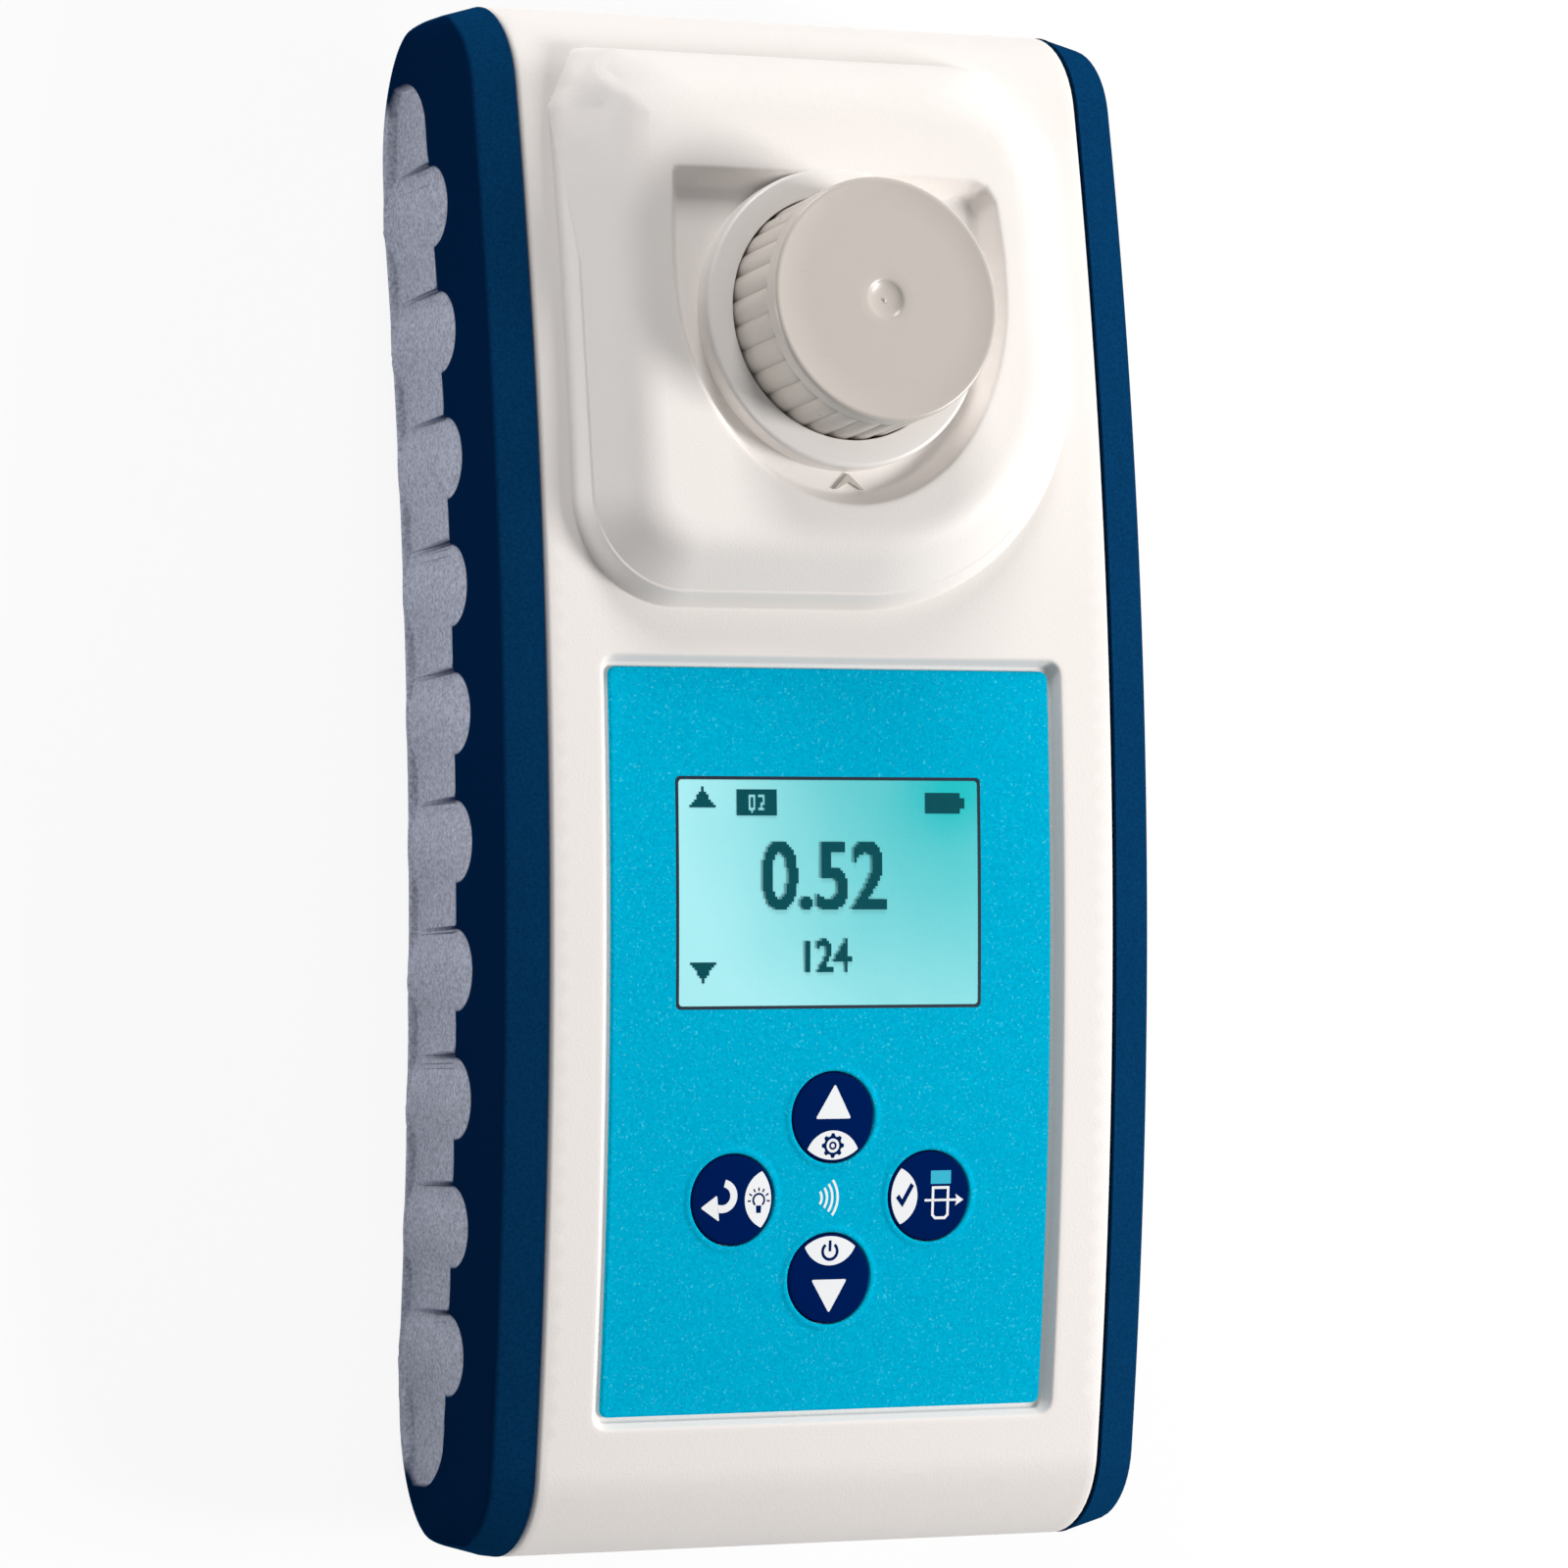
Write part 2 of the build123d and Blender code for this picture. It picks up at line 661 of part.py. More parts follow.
with BuildPart() as key_switches:
    with BuildSketch(Plane.XY.offset(board_top)):
        with Locations(*key_places.values()):
            Rectangle(switch_size, switch_size)
    extrude(amount=switch_height - plunger_height)
    with BuildSketch(Plane.XY.offset(board_top + switch_height - plunger_height)):
        with Locations(*key_places.values()):
            Circle(key_stem_radius)
    extrude(amount=plunger_height)
save(key_switches.part, "key_switches")

with BuildPart() as display_glass:
    with BuildSketch(Plane.XY.offset(lcd_top - lcd_thickness)):
        with Locations((0, window_y)):
            Rectangle(window_width + 2 * lcd_margin, window_height + 2 * lcd_margin)
    extrude(amount=lcd_thickness)
save(display_glass.part, "display_glass")

with BuildPart() as display_backlight:
    with BuildSketch(Plane.XY.offset(board_top)):
        with Locations((0, window_y)):
            Rectangle(window_width + 2 * lcd_margin, window_height + 2 * lcd_margin)
    extrude(amount=lcd_top - lcd_thickness - board_top)
save(display_backlight.part, "display_backlight")

with BuildPart() as wireless_module:
    with BuildSketch(Plane.XY.offset(board_top)):
        with Locations((module_x, chips_y)):
            Rectangle(module_width, module_length)
    extrude(amount=module_height)
save(wireless_module.part, "wireless_module")

with BuildPart() as processor:
    with BuildSketch(Plane.XY.offset(board_top)):
        with Locations((processor_x, chips_y)):
            Rectangle(processor_size, processor_size)
    extrude(amount=processor_height)
save(processor.part, "processor")

with BuildPart() as buzzer:
    with BuildSketch(Plane.XY.offset(board_top)):
        with Locations((buzzer_x, chips_y)):
            Circle(buzzer_radius)
    extrude(amount=buzzer_height)
save(buzzer.part, "buzzer")

# Sample chamber with the tubes for the lamp and the detector
beam = chamber_plane.from_local_coords((0, 0, -optics_drop))
lamp_side = Plane(origin=beam, x_dir=chamber_plane.z_dir, z_dir=(-1, 0, 0))
detector_side = Plane(origin=beam, x_dir=chamber_plane.z_dir, z_dir=(1, 0, 0))
body_top = -(pod_plateau - recess_depth) - wall - 3 * seat_gap
with BuildPart() as chamber_body:
    with BuildSketch(chamber_plane.offset(-chamber_depth)):
        Circle(chamber_outer)
    extrude(amount=chamber_depth + body_top)
    with BuildSketch(chamber_plane.offset(body_top)):
        Circle(chamber_neck)
    extrude(amount=-body_top - seat_gap)
    with BuildSketch(lamp_side.offset(chamber_outer - 1)):
        Circle(lamp_tube)
    extrude(amount=lamp_tube_reach - chamber_outer + 1)
    with BuildSketch(detector_side.offset(chamber_outer - 1)):
        Circle(detector_tube)
    extrude(amount=detector_tube_reach - chamber_outer + 1)
    with BuildSketch(chamber_plane.offset(chamber_floor - chamber_depth)):
        Circle(vial_radius + vial_fit)
    extrude(amount=chamber_depth, mode=Mode.SUBTRACT)
    with BuildSketch(lamp_side):
        Circle(lamp_radius + seat_gap)
    extrude(amount=lamp_tube_reach, mode=Mode.SUBTRACT)
    with BuildSketch(detector_side):
        Circle(lamp_radius + seat_gap)
    extrude(amount=chamber_outer, mode=Mode.SUBTRACT)
    with BuildSketch(detector_side.offset(chamber_outer)):
        Circle(filter_radius + seat_gap)
    extrude(amount=detector_tube_reach, mode=Mode.SUBTRACT)
save(chamber_body.part, "chamber_body")

with BuildPart() as lamp:
    with BuildSketch(lamp_side.offset(lamp_tube_reach - lamp_length)):
        Circle(lamp_radius)
    extrude(amount=lamp_length)
save(lamp.part, "lamp")

with BuildPart() as lamp_board:
    with BuildSketch(lamp_side.offset(lamp_tube_reach)):
        Rectangle(side_board_height, side_board_width)
    extrude(amount=side_board_thickness)
save(lamp_board.part, "lamp_board")

with BuildPart() as colour_filter:
    with BuildSketch(detector_side.offset(chamber_outer)):
        Circle(filter_radius)
    extrude(amount=filter_thickness)
save(colour_filter.part, "colour_filter")

with BuildPart() as light_detector:
    with BuildSketch(detector_side.offset(detector_tube_reach)):
        Rectangle(detector_size, detector_size)
    extrude(amount=-detector_height)
save(light_detector.part, "light_detector")

with BuildPart() as detector_board:
    with BuildSketch(detector_side.offset(detector_tube_reach)):
        Rectangle(side_board_height, side_board_width)
    extrude(amount=side_board_thickness)
save(detector_board.part, "detector_board")

with BuildPart() as chamber_ring:
    with BuildSketch(chamber_plane):
        Circle(ring_outer)
        Circle(ring_inner, mode=Mode.SUBTRACT)
    extrude(amount=ring_height)
    rims = chamber_ring.faces().filter_by(GeomType.PLANE).sort_by(Axis.Z)[-1].edges().sort_by(SortBy.RADIUS)
    chamfer(rims[-1], ring_edge)
    chamfer(rims[0], ring_inner_edge)
save(chamber_ring.part, "chamber_ring")

# Vial, liner and cap
neck_top = cap_rise - cap_wall - liner_thickness - rest_gap
with BuildPart() as vial:
    with BuildSketch(chamber_plane.offset(chamber_floor - chamber_depth + rest_gap)):
        Circle(vial_radius)
    extrude(amount=chamber_depth - chamber_floor - rest_gap + shoulder_rise)
    with BuildSketch(chamber_plane.offset(shoulder_rise)):
        Circle(neck_radius)
    extrude(amount=neck_top - shoulder_rise)
    with BuildSketch(chamber_plane.offset(chamber_floor - chamber_depth + rest_gap + vial_floor)):
        Circle(vial_radius - vial_wall)
    extrude(amount=chamber_depth - chamber_floor - rest_gap - vial_floor - vial_wall, mode=Mode.SUBTRACT)
    with BuildSketch(chamber_plane.offset(-2 * vial_wall)):
        Circle(neck_radius - vial_wall)
    extrude(amount=neck_top + 2 * vial_wall, mode=Mode.SUBTRACT)
save(vial.part, "vial")

with BuildPart() as cap_liner:
    with BuildSketch(chamber_plane.offset(neck_top + rest_gap)):
        Circle(neck_radius)
    extrude(amount=liner_thickness - rest_gap)
save(cap_liner.part, "cap_liner")

with BuildPart() as vial_cap:
    with BuildSketch(chamber_plane.offset(cap_foot)):
        Circle(flute_core)
        with PolarLocations(cap_radius - flute_radius, flute_count):
            Circle(flute_radius)
    extrude(amount=cap_rise - cap_band - cap_foot)
    with BuildSketch(chamber_plane.offset(cap_rise - cap_band)):
        Circle(cap_radius)
    extrude(amount=cap_band)
    chamfer(vial_cap.faces().filter_by(GeomType.PLANE).sort_by(Axis.Z)[-1].edges(), cap_edge)
    with BuildSketch(chamber_plane.offset(cap_foot)):
        Circle(neck_radius + neck_fit)
    extrude(amount=cap_rise - cap_wall - cap_foot, mode=Mode.SUBTRACT)
    dimple = (dimple_radius ** 2 + dimple_depth ** 2) / (2 * dimple_depth)
    with Locations(chamber_plane.from_local_coords((0, 0, cap_rise - dimple_depth + dimple))):
        Sphere(dimple, mode=Mode.SUBTRACT)
save(vial_cap.part, "vial_cap")

# Batteries, their holder and contacts
roof_low = cell_height + cell_radius + cell_play
with BuildPart() as battery_holder:
    with BuildSketch(Plane.XY):
        with Locations((0, bay_y)):
            Rectangle(2 * cover_half_x, 2 * (bay_half_y + bay_wall))
    extrude(amount=roof_low + holder_roof)
    with BuildSketch(Plane.XY):
        with Locations((0, bay_y)):
            Rectangle(2 * bay_half_x, 2 * bay_half_y)
    extrude(amount=roof_low, mode=Mode.SUBTRACT)
    extrude(side_face(wall + lip_thickness), amount=shell_half, both=True, mode=Mode.INTERSECT)
save(battery_holder.part, "battery_holder")

cell_places = [((index - (cell_count - 1) / 2) * cell_pitch, cell_height) for index in range(cell_count)]
with BuildPart() as batteries:
    with BuildSketch(Plane.XZ.offset(-(bay_y + cell_length / 2 - terminal_height))):
        with Locations(*cell_places):
            Circle(cell_radius)
    extrude(amount=cell_length - terminal_height)
    with BuildSketch(Plane.XZ.offset(-(bay_y + cell_length / 2))):
        with Locations(*cell_places):
            Circle(cell_radius / 2)
    extrude(amount=terminal_height)
save(batteries.part, "batteries")

with BuildPart() as battery_contacts:
    for side in (-1, 1):
        with BuildSketch(Plane.XZ.offset(-(bay_y + side * bay_half_y))):
            with Locations(*cell_places):
                Rectangle(contact_size, contact_size)
        extrude(amount=side * contact_thickness)
save(battery_contacts.part, "battery_contacts")

with BuildPart() as battery_springs:
    with BuildSketch(Plane.XZ.offset(-(bay_y - bay_half_y + contact_thickness))):
        with Locations(*cell_places):
            Circle(spring_radius)
    extrude(amount=-(bay_slack - contact_thickness), taper=spring_taper)
save(battery_springs.part, "battery_springs")

parts_made = (front_shell, back_shell, right_grip, left_grip, battery_cover, chamber_body, vial, vial_cap)
print("volumes", [round(piece.part.volume) for piece in parts_made])
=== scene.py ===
from math import acos, asin, atan2, ceil, cos, hypot, pi, radians, sin, sqrt

import bmesh
import bpy
import numpy as np
from mathutils import Matrix, Vector
from mathutils.bvhtree import BVHTree
from mathutils.geometry import delaunay_2d_cdt
from mathutils.kdtree import KDTree


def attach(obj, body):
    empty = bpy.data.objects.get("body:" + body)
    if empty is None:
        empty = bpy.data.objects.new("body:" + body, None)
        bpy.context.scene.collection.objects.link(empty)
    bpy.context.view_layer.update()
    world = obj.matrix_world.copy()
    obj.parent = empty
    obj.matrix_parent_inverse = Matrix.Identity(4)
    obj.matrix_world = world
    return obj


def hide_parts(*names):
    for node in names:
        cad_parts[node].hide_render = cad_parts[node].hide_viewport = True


# Handheld photometer lying on its back. Sizes in millimetres, meshes in metres.
# +Z comes out of the front face and +Y points to the chamber end.

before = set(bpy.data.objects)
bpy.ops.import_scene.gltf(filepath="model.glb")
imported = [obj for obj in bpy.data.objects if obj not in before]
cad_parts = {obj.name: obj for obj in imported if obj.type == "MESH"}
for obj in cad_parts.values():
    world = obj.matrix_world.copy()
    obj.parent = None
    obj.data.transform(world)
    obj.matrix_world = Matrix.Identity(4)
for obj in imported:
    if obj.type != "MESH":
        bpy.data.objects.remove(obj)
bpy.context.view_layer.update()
mm = 0.001

housing = {
    "halfLength": 77.75, "halfWidth": 36.3, "crest": 33.7, "frontRadius": 440.0,
    "rearCrest": 4.1, "landStart": 57.0, "frontCorner": 10.0, "rearCorner": 15.0,
    "parting": 13.5, "shellHalf": 31.65, "panelInner": 31.95, "wall": 2.0,
}
chamberY = 45.0
archCentre = housing["crest"] - housing["frontRadius"]
lean = asin(chamberY / housing["frontRadius"])
archFoot = Vector((0, chamberY, archCentre + housing["frontRadius"] * cos(lean)))
leanUp = Vector((0, sin(lean), cos(lean)))
leanAlong = Vector((0, cos(lean), -sin(lean)))
podRise, recessDepth = 5.6, 2.2
chamberFoot = archFoot + leanUp * (podRise - recessDepth)
chamberFrame = Matrix((
    (1, 0, 0, 0), (0, leanAlong.y, leanUp.y, chamberFoot.y), (0, leanAlong.z, leanUp.z, chamberFoot.z),
    (0, 0, 0, 1),
))


# Shader maths: a wrapped socket, so that a mask is written as an expression
class Wire:
    def __init__(self, sheet, socket):
        self.sheet, self.socket = sheet, socket

    def math(self, operation, other, turned=False):
        pair = (other, self) if turned else (self, other)
        return self.sheet.add("ShaderNodeMath", {"operation": operation}, {0: pair[0], 1: pair[1]})

    def __add__(self, other):
        return self.math("ADD", other)

    def __radd__(self, other):
        return self.math("ADD", other, True)

    def __sub__(self, other):
        return self.math("SUBTRACT", other)

    def __rsub__(self, other):
        return self.math("SUBTRACT", other, True)

    def __mul__(self, other):
        return self.math("MULTIPLY", other)

    def __rmul__(self, other):
        return self.math("MULTIPLY", other, True)

    def __truediv__(self, other):
        return self.math("DIVIDE", other)

    def __lt__(self, other):
        return self.math("LESS_THAN", other)

    def __gt__(self, other):
        return self.math("GREATER_THAN", other)


class Sheet:
    def __init__(self, name):
        self.material = bpy.data.materials.new(name)
        self.material.use_nodes = True
        self.tree = self.material.node_tree
        self.tree.nodes.clear()

    def add(self, kind, settings=None, inputs=None, output=0):
        node = self.tree.nodes.new(kind)
        for key, value in (settings or {}).items():
            if key == "stops":
                ramp = node.color_ramp
                while len(ramp.elements) < len(value):
                    ramp.elements.new(0.5)
                for element, (place, colour) in zip(ramp.elements, value):
                    element.position, element.color = place, colour
            else:
                setattr(node, key, value)
        for key, value in (inputs or {}).items():
            socket = node.inputs[key]
            if isinstance(value, Wire):
                self.tree.links.new(value.socket, socket)
            else:
                socket.default_value = value
        return Wire(self, node.outputs[output]) if node.outputs else None

    def place(self, scale=(1, 1, 1), centre=(0, 0, 0)):
        at = self.add("ShaderNodeTexCoord", output="Object")
        return self.add(
            "ShaderNodeMapping", {"vector_type": "POINT"},
            {"Vector": at, "Location": centre, "Scale": scale},
        )

    def noise(self, size, detail=2.0, roughness=0.5, at=None, seed=0.0):
        where = at or self.place()
        return self.add(
            "ShaderNodeTexNoise", {"noise_dimensions": "4D"},
            {"Vector": where, "W": seed, "Scale": 1 / (size * mm), "Detail": detail, "Roughness": roughness},
        )

    def ramp(self, value, low, high):
        return self.add(
            "ShaderNodeMapRange", {"clamp": True}, {0: value, 1: low[0], 2: high[0], 3: low[1], 4: high[1]},
        )

    def tint(self, factor, first, second, blend="MIX"):
        node = self.tree.nodes.new("ShaderNodeMix")
        node.data_type, node.blend_type = "RGBA", blend
        for socket, value in ((node.inputs[0], factor), (node.inputs[6], first), (node.inputs[7], second)):
            if isinstance(value, Wire):
                self.tree.links.new(value.socket, socket)
            else:
                socket.default_value = value
        return Wire(self, node.outputs[2])

    def bump(self, height, distance, strength=1.0, normal=None):
        inputs = {"Height": height, "Distance": distance * mm, "Strength": strength}
        if normal:
            inputs["Normal"] = normal
        return self.add("ShaderNodeBump", {}, inputs)

    def finish(self, inputs, settings=None):
        shader = self.add("ShaderNodeBsdfPrincipled", settings, inputs)
        self.add("ShaderNodeOutputMaterial", {}, {"Surface": shader})
        return self.material


def colour(red, green, blue):
    return (red, green, blue, 1.0)


def scaled(shade, factor):
    return tuple(channel * factor for channel in shade[:3]) + (1.0,)


# Moulded and printed finishes: grain in mm, bump height in mm, mottle as a share of the colour
plastics = {
    "shellWhite": {"colour": colour(0.88, 0.836, 0.804), "grain": 0.26, "height": 0.03, "mottle": 0.02,
                   "roughness": 0.5, "spread": 0.06, "coat": 0.0, "shine": 0.35},
    "ringWhite": {"colour": colour(0.88, 0.845, 0.815), "grain": 0.3, "height": 0.002, "mottle": 0.015,
                  "roughness": 0.34, "spread": 0.05, "coat": 0.1, "shine": 0.5},
    "capWhite": {"colour": colour(0.575, 0.525, 0.48), "grain": 1.6, "height": 0.002, "mottle": 0.02,
                 "roughness": 0.32, "spread": 0.05, "coat": 0.15, "shine": 0.5},
    "keyNavy": {"colour": colour(0.0, 0.0125, 0.10), "grain": 0.12, "height": 0.004, "mottle": 0.12,
                "roughness": 0.5, "spread": 0.08, "coat": 0.0, "shine": 0.0},
    "mouldedBlack": {"colour": colour(0.02, 0.02, 0.022), "grain": 0.2, "height": 0.01, "mottle": 0.1,
                     "roughness": 0.5, "spread": 0.1, "coat": 0.0, "shine": 0.5},
    "mouldedNatural": {"colour": colour(0.76, 0.76, 0.70), "grain": 0.3, "height": 0.006, "mottle": 0.04,
                       "roughness": 0.5, "spread": 0.06, "coat": 0.0, "shine": 0.5},
    "sealRubber": {"colour": colour(0.018, 0.018, 0.018), "grain": 0.25, "height": 0.02, "mottle": 0.15,
                   "roughness": 0.75, "spread": 0.1, "coat": 0.0, "shine": 0.4},
    "boardGreen": {"colour": colour(0.012, 0.11, 0.045), "grain": 0.8, "height": 0.01, "mottle": 0.2,
                   "roughness": 0.35, "spread": 0.1, "coat": 0.3, "shine": 0.5},
    "cellWrap": {"colour": colour(0.05, 0.055, 0.065), "grain": 1.2, "height": 0.004, "mottle": 0.1,
                 "roughness": 0.3, "spread": 0.08, "coat": 0.4, "shine": 0.5},
    "inkWhite": {"colour": colour(0.90, 0.92, 0.94), "grain": 0.1, "height": 0.002, "mottle": 0.01,
                 "roughness": 0.5, "spread": 0.05, "coat": 0.0, "shine": 0.3},
    "inkCyan": {"colour": colour(0.0, 0.46, 0.66), "grain": 0.1, "height": 0.002, "mottle": 0.05,
                "roughness": 0.5, "spread": 0.05, "coat": 0.0, "shine": 0.3},
    "lineDark": {"colour": colour(0.001, 0.012, 0.03), "grain": 0.1, "height": 0.002, "mottle": 0.1,
                 "roughness": 0.4, "spread": 0.05, "coat": 0.0, "shine": 0.3},
}


def plasticFinish(name, facts):
    sheet = Sheet(name)
    grain = sheet.noise(facts["grain"], 3.0, 0.6)
    cloud = sheet.noise(14.0, 2.0, 0.5, seed=3.0)
    low, high = scaled(facts["colour"], 1 - facts["mottle"]), scaled(facts["colour"], 1 + facts["mottle"] / 2)
    return sheet.finish({
        "Base Color": sheet.tint(cloud * 0.6 + grain * 0.4, low, high),
        "Roughness": sheet.ramp(
            grain, (0.3, facts["roughness"] - facts["spread"]), (0.7, facts["roughness"] + facts["spread"]),
        ),
        "Normal": sheet.bump(grain, facts["height"], 0.8),
        "Coat Weight": facts["coat"], "Coat Roughness": 0.25, "Specular IOR Level": facts["shine"],
        "IOR": 1.5,
    })


finishes = {name: plasticFinish(name, facts) for name, facts in plastics.items()}

# Navy panel paint. The light grip colour is partly the pebbled grip rubber's own tone and partly painted
# sheen.
panelPaint = {
    "band": colour(0.002, 0.037, 0.11), "side": colour(0.0008, 0.012, 0.045),
    "grip": colour(0.37, 0.39, 0.47), "grain": 0.30, "gripGrain": 0.34,
    "height": 0.02, "gripHeight": 0.045,
}


def panelFinish():
    sheet = Sheet("panelNavy")
    grip = sheet.add("ShaderNodeAttribute", {"attribute_name": "grip"}, output=2)
    flank = sheet.add("ShaderNodeAttribute", {"attribute_name": "flank"}, output=2)
    fine = sheet.noise(panelPaint["grain"], 2.0, 0.6)
    pebble = sheet.ramp(sheet.noise(panelPaint["gripGrain"], 3.0, 0.65, seed=2.0), (0.34, 0.0), (0.66, 1.0))
    cloud = sheet.noise(9.0, 2.0, 0.5, seed=5.0)
    flecks = sheet.ramp(fine, (0.36, 0.0), (0.66, 1.0))
    band = sheet.tint(
        cloud * 0.3 + flecks * 0.7, scaled(panelPaint["band"], 0.78), scaled(panelPaint["band"], 1.28),
    )
    # Painted shade: the side face away from the bevelled band gets a darker copy of the band's navy.
    band = sheet.tint(flank, band, panelPaint["side"])
    # Grip colour: the rubber's own lighter tone together with painted sheen.
    rubberAndSheen = sheet.tint(pebble, scaled(panelPaint["grip"], 0.66), scaled(panelPaint["grip"], 1.34))
    fineNormal = sheet.bump(fine, panelPaint["height"], 0.7)
    return sheet.finish({
        "Base Color": sheet.tint(grip, band, rubberAndSheen),
        "Roughness": sheet.ramp(grip, (0.0, 0.44), (1.0, 0.72)) + fine * 0.08,
        "Normal": sheet.bump(pebble * grip, panelPaint["gripHeight"], 0.9, fineNormal),
        "Specular IOR Level": 0.0, "IOR": 1.46,
    })


def filmFinish():
    sheet = Sheet("labelFilm")
    speck = sheet.noise(0.34, 3.0, 0.75, seed=1.0)
    drift = sheet.noise(30.0, 1.0, 0.5, seed=4.0)
    shade = sheet.tint(
        sheet.ramp(speck, (0.34, 0.0), (0.66, 1.0)), colour(0.0, 0.36, 0.60), colour(0.0, 0.51, 0.76),
    )
    sparkle = sheet.ramp(sheet.noise(0.26, 1.0, 0.5, seed=9.0), (0.62, 0.0), (0.76, 0.55))
    shade = sheet.tint(sparkle, shade, colour(0.12, 0.78, 0.95))
    return sheet.finish({
        "Base Color": sheet.tint(drift * 0.3, shade, colour(0.0, 0.42, 0.64)),
        "Roughness": sheet.ramp(speck, (0.3, 0.46), (0.7, 0.62)),
        "Normal": sheet.bump(speck, 0.03, 0.8), "Specular IOR Level": 0.0, "IOR": 1.5,
    })


def displayFinish():
    sheet = Sheet("displayFace")
    centre = Vector((13.5, -1.5, 0.0)) * mm
    away = sheet.add("ShaderNodeTexCoord", output="Object")
    away = sheet.add("ShaderNodeVectorMath", {"operation": "SUBTRACT"}, {0: away, 1: centre})
    away = sheet.add("ShaderNodeVectorMath", {"operation": "MULTIPLY"}, {0: away, 1: (1.0, 0.95, 0.0)})
    reach = sheet.add("ShaderNodeVectorMath", {"operation": "LENGTH"}, {0: away}, output="Value")
    wave = sheet.noise(9.0, 1.0, 0.5, seed=7.0)
    speck = sheet.noise(0.3, 2.0, 0.6, seed=8.0)
    pale = sheet.ramp(reach * 1000.0 + (wave - 0.5) * 7.0 + (speck - 0.5) * 3.0, (1.0, 0.0), (31.0, 1.0))
    shade = sheet.tint(pale, colour(0.015, 0.50, 0.53), colour(0.38, 0.80, 0.84))
    return sheet.finish({
        "Base Color": shade, "Roughness": 0.3 + speck * 0.1, "Coat Weight": 0.0,
        "Emission Color": shade, "Emission Strength": 0.12, "Specular IOR Level": 0.05, "IOR": 1.5,
    })


def glassFinish(name, tintShade, roughness, weight):
    sheet = Sheet(name)
    smear = sheet.noise(8.0, 2.0, 0.6)
    return sheet.finish({
        "Base Color": sheet.tint(smear, scaled(tintShade, 0.97), tintShade),
        "Roughness": sheet.ramp(smear, (0.3, roughness), (0.7, roughness + 0.04)),
        "Transmission Weight": weight, "IOR": 1.47,
    })


def metalFinish(name, shade, roughness):
    sheet = Sheet(name)
    streak = sheet.noise(0.6, 2.0, 0.6, at=sheet.place(scale=(1, 1, 6)))
    return sheet.finish({
        "Base Color": sheet.tint(streak, scaled(shade, 0.85), shade), "Metallic": 1.0,
        "Roughness": sheet.ramp(streak, (0.3, roughness), (0.7, roughness + 0.15)),
        "Normal": sheet.bump(streak, 0.004, 0.6),
    })


def inkFinish():
    sheet = Sheet("displayInk")
    speck = sheet.noise(0.25, 2.0, 0.6)
    return sheet.finish({
        "Base Color": sheet.tint(speck, colour(0.0, 0.060, 0.078), colour(0.0, 0.10, 0.12)),
        "Roughness": 0.35 + speck * 0.1, "Specular IOR Level": 0.05,
    })


finishes.update({
    "panelNavy": panelFinish(), "labelFilm": filmFinish(), "displayFace": displayFinish(),
    "displayInk": inkFinish(),
    "vialGlass": glassFinish("vialGlass", colour(0.93, 0.97, 0.96), 0.02, 0.9),
    "displayGlass": glassFinish("displayGlass", colour(0.6, 0.85, 0.83), 0.08, 0.3),
    "filterGlass": glassFinish("filterGlass", colour(0.2, 0.5, 0.6), 0.05, 0.5),
    "lampLens": glassFinish("lampLens", colour(0.9, 0.9, 0.84), 0.1, 0.6),
    "screwSteel": metalFinish("screwSteel", colour(0.55, 0.55, 0.56), 0.28),
    "contactMetal": metalFinish("contactMetal", colour(0.66, 0.66, 0.63), 0.22),
})
print("finishes:", len(finishes))


# Meshes
def newPiece(name, points, faces, finish, angle=None, scale=mm):
    mesh = bpy.data.meshes.new(name)
    mesh.from_pydata([tuple(value * scale for value in point) for point in points], [], faces)
    mesh.materials.append(finishes[finish])
    mesh.polygons.foreach_set("use_smooth", [True] * len(mesh.polygons))
    if angle:
        mesh.set_sharp_from_angle(angle=radians(angle))
    piece = bpy.data.objects.new(name, mesh)
    bpy.context.scene.collection.objects.link(piece)
    return piece


def seat(piece, body, slotName, *nodes):
    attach(piece, body)
    if nodes:
        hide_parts(*nodes)
    return piece


# A run of corners with each inner corner rounded over its cut, as rows of (inset, height)
def softSection(corners, cuts, steps=5):
    rows = [corners[0]]
    for before, corner, after, cut in zip(corners, corners[1:], corners[2:], cuts):
        start = Vector(corner) + (Vector(before) - Vector(corner)).normalized() * cut
        end = Vector(corner) + (Vector(after) - Vector(corner)).normalized() * cut
        for step in range(steps + 1):
            share = step / steps
            point = start * (1 - share) ** 2 + Vector(corner) * 2 * share * (1 - share) + end * share ** 2
            rows.append(tuple(point))
    rows.append(corners[-1])
    return rows


def arcPoints(centre, radius, start, end, step):
    count = max(2, ceil(abs(radians(end - start)) * radius / step) + 1)
    return [
        (centre[0] + radius * cos(radians(turn)), centre[1] + radius * sin(radians(turn)))
        for turn in np.linspace(start, end, count)
    ]


def linePoints(start, end, step):
    count = max(1, ceil(hypot(end[0] - start[0], end[1] - start[1]) / step))
    return [
        tuple(np.array(start) + (np.array(end) - np.array(start)) * share)
        for share in np.arange(count) / count
    ]


def spaced(corners, step):
    points = []
    for start, end in zip(corners, corners[1:] + corners[:1]):
        points += linePoints(start, end, step)
    return points


# A box with round corners: one radius, or four from the +X +Y corner counterclockwise
def roundedBox(centre, halfX, halfY, radius, step):
    radii = radius if isinstance(radius, tuple) else (radius,) * 4
    turn = max(step * 0.35, 0.04)
    corners = []
    for (signX, signY, angle), bend in zip(((1, 1, 0), (-1, 1, 90), (-1, -1, 180), (1, -1, 270)), radii):
        bend = max(bend, 0.03)
        middle = (centre[0] + signX * (halfX - bend), centre[1] + signY * (halfY - bend))
        corners += arcPoints(
            middle, bend, angle, angle + 90, max(min(step, bend * 0.35), turn if bend > 1 else 0.05),
        )
    return spaced(corners, step)


